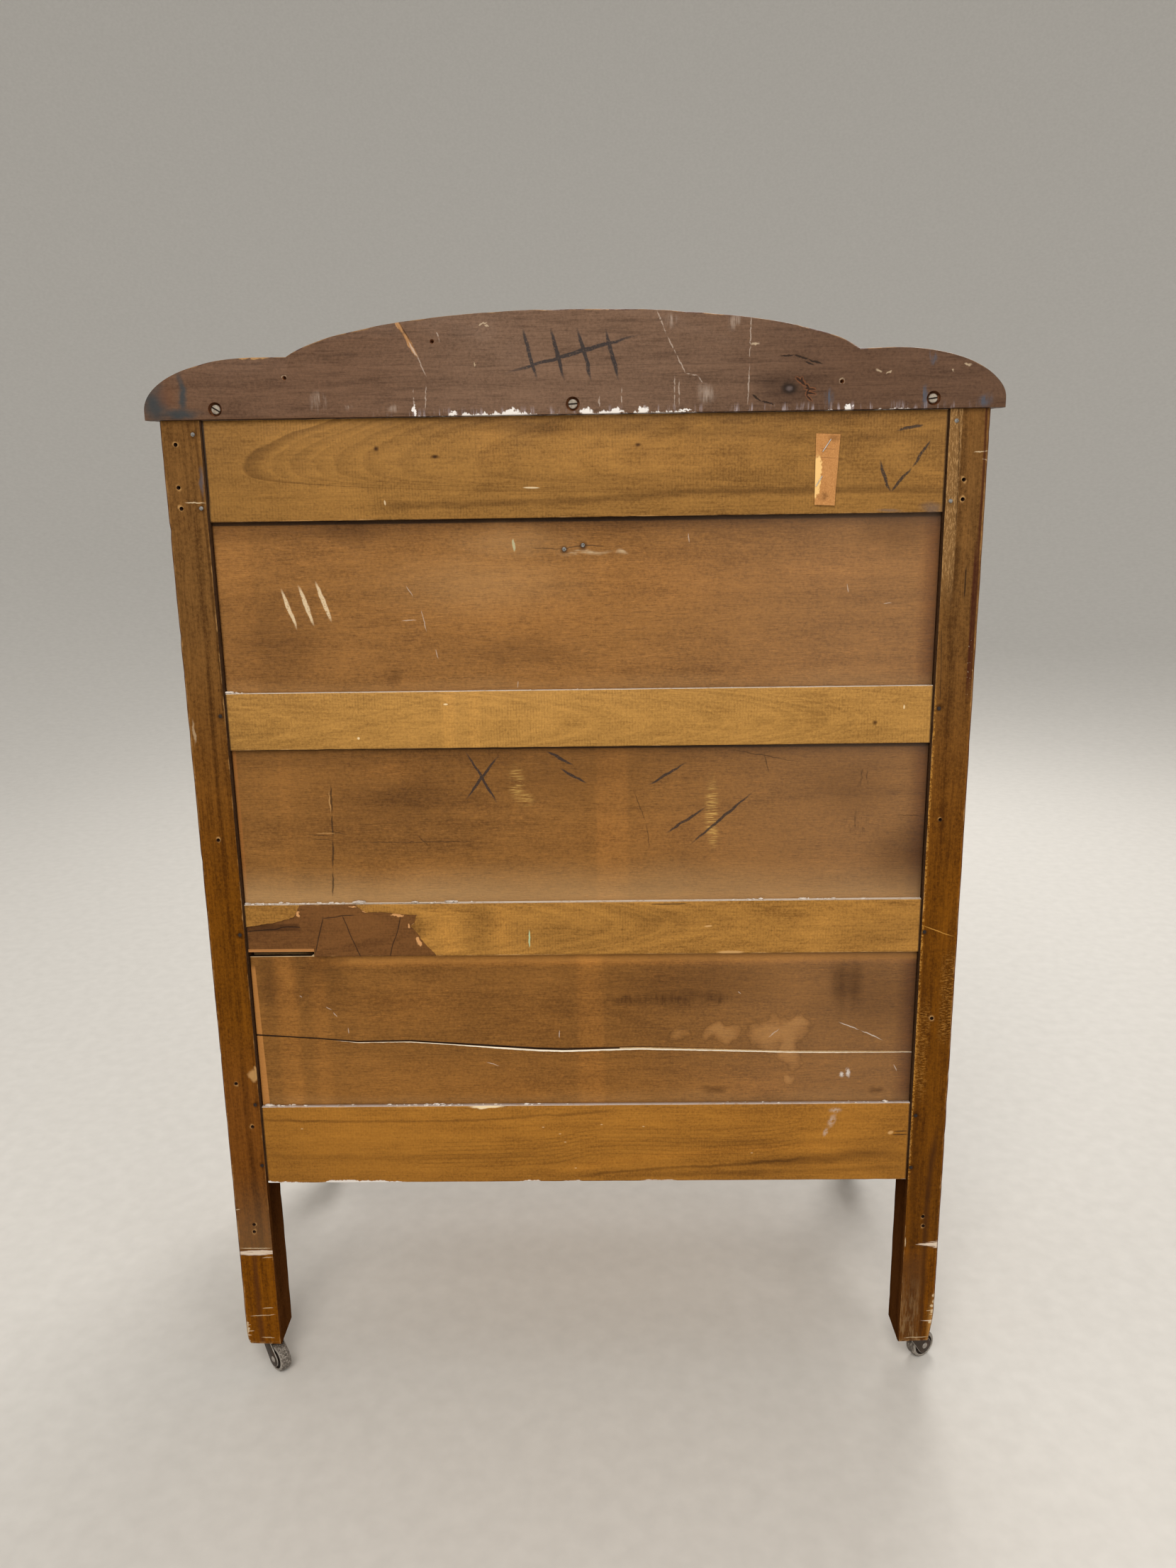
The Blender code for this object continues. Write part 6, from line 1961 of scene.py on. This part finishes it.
def drawers():
    lengthways = lining_finish("lining_lengthways", X, Z).finished(0.25)
    depthways = lining_finish("lining_depthways", Y, Z, 2.0).finished(0.25)
    turned_wood = knob_finish()
    for number in DRAWERS:
        name = f"drawer_{number}"
        low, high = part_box(f"{name}_front")
        refinish(f"{name}_front", drawer_front_finish(number))
        refinish(f"{name}_back", lengthways)
        refinish(f"{name}_bottom", lengthways)
        for side, sign in SIDES.items():
            refinish(f"{name}_side_{side}", depthways)
            place = (sign * KNOB_REACH_OUT, low.y, (low.z + high.z) / 2)
            bm = stood(knob(), place, (0, -1, 0))
            piece(f"{name}_turned_knob_{side}", bm, [turned_wood], name, [f"{name}_knob_{side}"])


def case():
    for number, side in enumerate(SIDES):
        refinish(f"post_front_{side}", front_post_finish(side))
        refinish(f"side_panel_{side}", side_panel_finish(side))
        for rail in ("top", "bottom"):
            node = f"side_{rail}_rail_{side}"
            refinish(node, side_rail_finish(node, 11.0 * number + len(rail)))
    refinish("top_board", top_board_finish())
    for name in ("top", "upper", "middle", "lower", "bottom"):
        refinish(f"drawer_frame_{name}", drawer_frame_finish(name))


# Casters, as the solids'
STEM_RADIUS = 0.0047
STEM_LENGTH = 0.034
CROWN_RADIUS = 0.0145
CROWN_THICKNESS = 0.004
CROWN_GAP = 0.0003
CHEEK_THICKNESS = 0.0014
CHEEK_GAP = 0.0007
CHEEK_RADIUS = 0.01
CHEEK_ROOT = 0.01
CHEEK_STEPS = 22
RIVET_RADIUS = 0.004
RIVET_HEIGHT = 0.001
WHEEL_RADIUS = 0.0175
WHEEL_WIDTH = 0.0145
AXLE_RADIUS = 0.0028
PIN_RADIUS = AXLE_RADIUS - 0.0004
PIN_SUNK = 0.001  # how far the pin runs into each cheek
FORK_CHAMFER = 0.001
# The wheel's side: radii outwards from the axle's hole, each with how far it lies in from the edge
WHEEL_SIDE = (
    (AXLE_RADIUS, 0), (0.0062, 0), (0.007, 0.0016), (0.0122, 0.0019), (0.0132, 0.0002), (0.0138, 0),
    (0.0146, 0),
)
TREAD_ROUND = 0.0032
RIM_INSIDE, TREAD_INSIDE = 0.0133, 0.016  # where the worn rim, painted light as a highlight, and the tread start
# Finish numbers: DARK for the fork's steel and for the wheel's sides painted dark as shade, then worn edges
# painted light as highlights, then the tread
DARK, WORN_HIGHLIT, TREAD = range(3)


def tangent_angle(point, middle, radius, side):
    """Where a line from a point touches a circle, on the side that +1 or -1 gives."""
    away = (point[0] - middle[0], point[1] - middle[1])
    return math.atan2(away[1], away[0]) + side * math.acos(radius / math.hypot(*away))


def fork_cheek(trail, drop, near, far):
    """One stamped cheek, as (along the trail, height), with its edges worn bright and painted light as
    highlights.
    """
    root = -CROWN_GAP - CROWN_THICKNESS / 2
    middle = (trail, drop)
    first, last = (-CHEEK_ROOT, root), (CHEEK_ROOT, root)
    start = tangent_angle(first, middle, CHEEK_RADIUS, 1)
    sweep_angle = (tangent_angle(last, middle, CHEEK_RADIUS, -1) - start) % math.tau
    outline = [first]
    for step in range(CHEEK_STEPS + 1):
        angle = start + sweep_angle * step / CHEEK_STEPS
        outline.append((trail + CHEEK_RADIUS * math.cos(angle), drop + CHEEK_RADIUS * math.sin(angle)))
    outline.append(last)
    bm = slab(outline, near, far)
    for face in ease(bm, slab_edges(bm), 0.0005):
        face.material_index = WORN_HIGHLIT
    for face in bm.faces:
        if abs(face.normal.y) < 0.5:
            face.material_index = WORN_HIGHLIT
    return bm


def fork(trail, drop):
    """Stem, round crown, two cheeks and domed rivets, with the wheel trailing along +X."""
    low = -CROWN_GAP - CROWN_THICKNESS
    cut = FORK_CHAMFER
    stem = [(0, STEM_LENGTH), (STEM_RADIUS - cut, STEM_LENGTH), (STEM_RADIUS, STEM_LENGTH - cut)]
    crown = [(STEM_RADIUS, -CROWN_GAP), (CROWN_RADIUS - cut, -CROWN_GAP), (CROWN_RADIUS, -CROWN_GAP - cut)]
    bm = turned(stem + crown + [(CROWN_RADIUS, low + cut), (CROWN_RADIUS - cut, low), (0, low)], 40)
    near = WHEEL_WIDTH / 2 + CHEEK_GAP
    for sign in SIDES.values():
        add_to(bm, fork_cheek(trail, drop, sign * near, sign * (near + CHEEK_THICKNESS)))
        out = near + CHEEK_THICKNESS
        shares = ((0, 1), (0.45, 0.85), (0.85, 0.45), (1, 0), (1, -0.8), (0, -0.8))
        dome = [(across * RIVET_RADIUS, up * RIVET_HEIGHT) for across, up in shares]
        add_to(bm, stood(turned(dome, 20), (trail, sign * out, drop), (0, sign, 0)), WORN_HIGHLIT)
    reach = near + PIN_SUNK
    pin = [(0, reach), (PIN_RADIUS, reach), (PIN_RADIUS, -reach), (0, -reach)]
    add_to(bm, stood(turned(pin, 16), (trail, 0, drop)), DARK)
    return bm


def wheel():
    """A wheel about Z with a rounded tread, worn rims painted light as highlights too, and dished sides
    painted dark as shade.
    """
    half = WHEEL_WIDTH / 2
    side = [(radius, half - inward) for radius, inward in WHEEL_SIDE]
    shoulder = WHEEL_SIDE[-1][0]
    for step in range(1, 6):
        angle = math.pi / 2 * step / 5
        radius = shoulder + (WHEEL_RADIUS - shoulder) * math.sin(angle)
        side.append((radius, half - TREAD_ROUND * (1 - math.cos(angle))))
    profile = side + [(radius, -height) for radius, height in reversed(side)]
    bm = turned(profile, 56, closed=True)
    for face in bm.faces:
        middle = face.calc_center_median()
        radius = math.hypot(middle.x, middle.y)
        if radius > TREAD_INSIDE:
            face.material_index = TREAD
        elif radius > RIM_INSIDE:
            face.material_index = WORN_HIGHLIT
    return bm


def casters():
    steel = steel_finish("fork_steel", tone(74, 64, 56), 0.4, 0.45, 0.4)
    # Worn steel, painted light also as the highlights on the edges and rims
    worn_highlit_steel = steel_finish("worn_and_highlit_steel", tone(172, 165, 156), 0.4, 0.34, 0.2)
    # The wheel's sides, painted dark as the shade beside the cheeks
    side = plain_finish("wheel_side_painted_shade", tone(30, 24, 20), tone(58, 46, 38), 160.0, 0.55)
    tread = tread_finish()
    joints = {joint["name"]: joint for joint in frame["joints"]}
    for end in ("front", "rear"):
        for name in SIDES:
            corner = f"{end}_{name}"
            stem = Vector(joints[f"caster_{corner}_swivel"]["pos_m"])
            axle = Vector(joints[f"wheel_{corner}_roll"]["pos_m"])
            trail = axle - stem
            angle = math.atan2(trail.y, trail.x)
            bm = fork(math.hypot(trail.x, trail.y), trail.z)
            bm.transform(Matrix.Translation(stem) @ Matrix.Rotation(angle, 4, "Z"))
            nodes = [f"caster_fork_{corner}"]
            piece(f"caster_yoke_{corner}", bm, [steel, worn_highlit_steel], f"caster_{corner}", nodes)
            axis = joints[f"wheel_{corner}_roll"]["axis"]
            bm = stood(wheel(), axle, axis)
            finishes, nodes = [side, worn_highlit_steel, tread], [f"caster_wheel_{corner}"]
            piece(f"caster_roller_{corner}", bm, finishes, f"wheel_{corner}", nodes)


def photo_camera():
    """The camera where the photograph was taken, with its pitch, yaw and roll."""
    level = Vector((-math.cos(CAMERA_YAW), math.sin(CAMERA_YAW), 0))
    ahead = Vector(
        (
            -math.sin(CAMERA_YAW) * math.cos(CAMERA_PITCH),
            -math.cos(CAMERA_YAW) * math.cos(CAMERA_PITCH),
            -math.sin(CAMERA_PITCH),
        )
    )
    down = ahead.cross(level)
    right = math.cos(CAMERA_ROLL) * level + math.sin(CAMERA_ROLL) * down
    up = math.sin(CAMERA_ROLL) * level - math.cos(CAMERA_ROLL) * down
    data = bpy.data.cameras.new("photo_camera")
    data.sensor_width = SENSOR
    data.lens = SENSOR * FOCAL_PIXELS / PHOTO_HEIGHT
    made = placed("photo_camera", data)
    axes = Matrix((right, up, -ahead)).transposed().to_4x4()
    made.matrix_world = Matrix.Translation(CAMERA_PLACE) @ axes
    bpy.context.scene.camera = made


def soft_light(name, place, target, size, power, shade):
    data = bpy.data.lights.new(name, "AREA")
    data.shape = "DISK"
    data.size = size
    data.energy = power
    data.color = shade
    made = placed(name, data)
    made.location = place
    made.rotation_euler = (Vector(target) - Vector(place)).to_track_quat("-Z", "Y").to_euler()


STUDIO_RADIUS = 3.5
COVE = 9.0
COVE_STEPS = 32


def studio():
    """A pale floor that curves up all round like a bowl, under an open sky of soft light."""
    coat = Coat("pale_floor")
    speckle = coat.noise(coat.place, 40.0, 4.0)
    coat.colour = coat.ramp(speckle, (0.3, tone(206, 203, 198)), (0.7, tone(212, 209, 204)))
    coat.rough = 0.8
    profile = [(0, 0)]
    for step in range(COVE_STEPS + 1):
        angle = math.pi / 2 * step / COVE_STEPS
        profile.append((STUDIO_RADIUS + COVE * math.sin(angle), COVE * (1 - math.cos(angle))))
    bm = turned(profile, 96)
    bmesh.ops.reverse_faces(bm, faces=[face for face in bm.faces if face.normal.z < 0])
    mesh = bpy.data.meshes.new("studio_floor")
    bm.to_mesh(mesh)
    bm.free()
    mesh.materials.append(coat.finished(0.0))
    mesh.shade_smooth()
    placed("studio_floor", mesh)
    world = bpy.data.worlds.new("studio_air")
    world.use_nodes = True
    air = world.node_tree.nodes["Background"]
    air.inputs["Color"].default_value = tone(228, 226, 222)
    air.inputs["Strength"].default_value = 0.85
    bpy.context.scene.world = world
    bpy.context.scene.view_settings.view_transform = "Standard"
    soft_light("over_the_back", (0.4, 2.8, 2.9), (0, 0.2, 0.7), 1.8, 67, (1.0, 0.95, 0.88))
    soft_light("beside_camera", (-2.2, 3.4, 1.9), (0, 0.2, 0.6), 1.8, 30, (1.0, 0.96, 0.92))
    soft_light("over_the_front", (-0.8, -2.6, 3.0), (0, -0.2, 0.6), 2.2, 80, (1.0, 0.97, 0.93))


def build():
    steel = nail_finish()
    wire_steel = steel_finish("staple_wire", tone(206, 204, 200), 0.4, 0.35, 0.0)
    raw = plain_finish("broken_wood", tone(214, 178, 122), CREAM, 260.0, 0.75)
    # Near-black painted as the shade inside holes, the slot and the crack
    painted_hole_shade = plain_finish("hole_inside_painted_shade", tone(22, 14, 10), tone(60, 38, 24), 300.0, 0.8)
    bored = plain_finish("bored_wood", tone(78, 46, 30), tone(140, 92, 58), 260.0, 0.8)
    back_posts(painted_hole_shade, steel)
    back_rails()
    lower_rail(painted_hole_shade)
    back_panels(raw, painted_hole_shade, steel)
    gallery_board(bored)
    paper_tag(wire_steel)
    ledge_dust()
    case()
    drawers()
    casters()
    studio()
    photo_camera()


build()
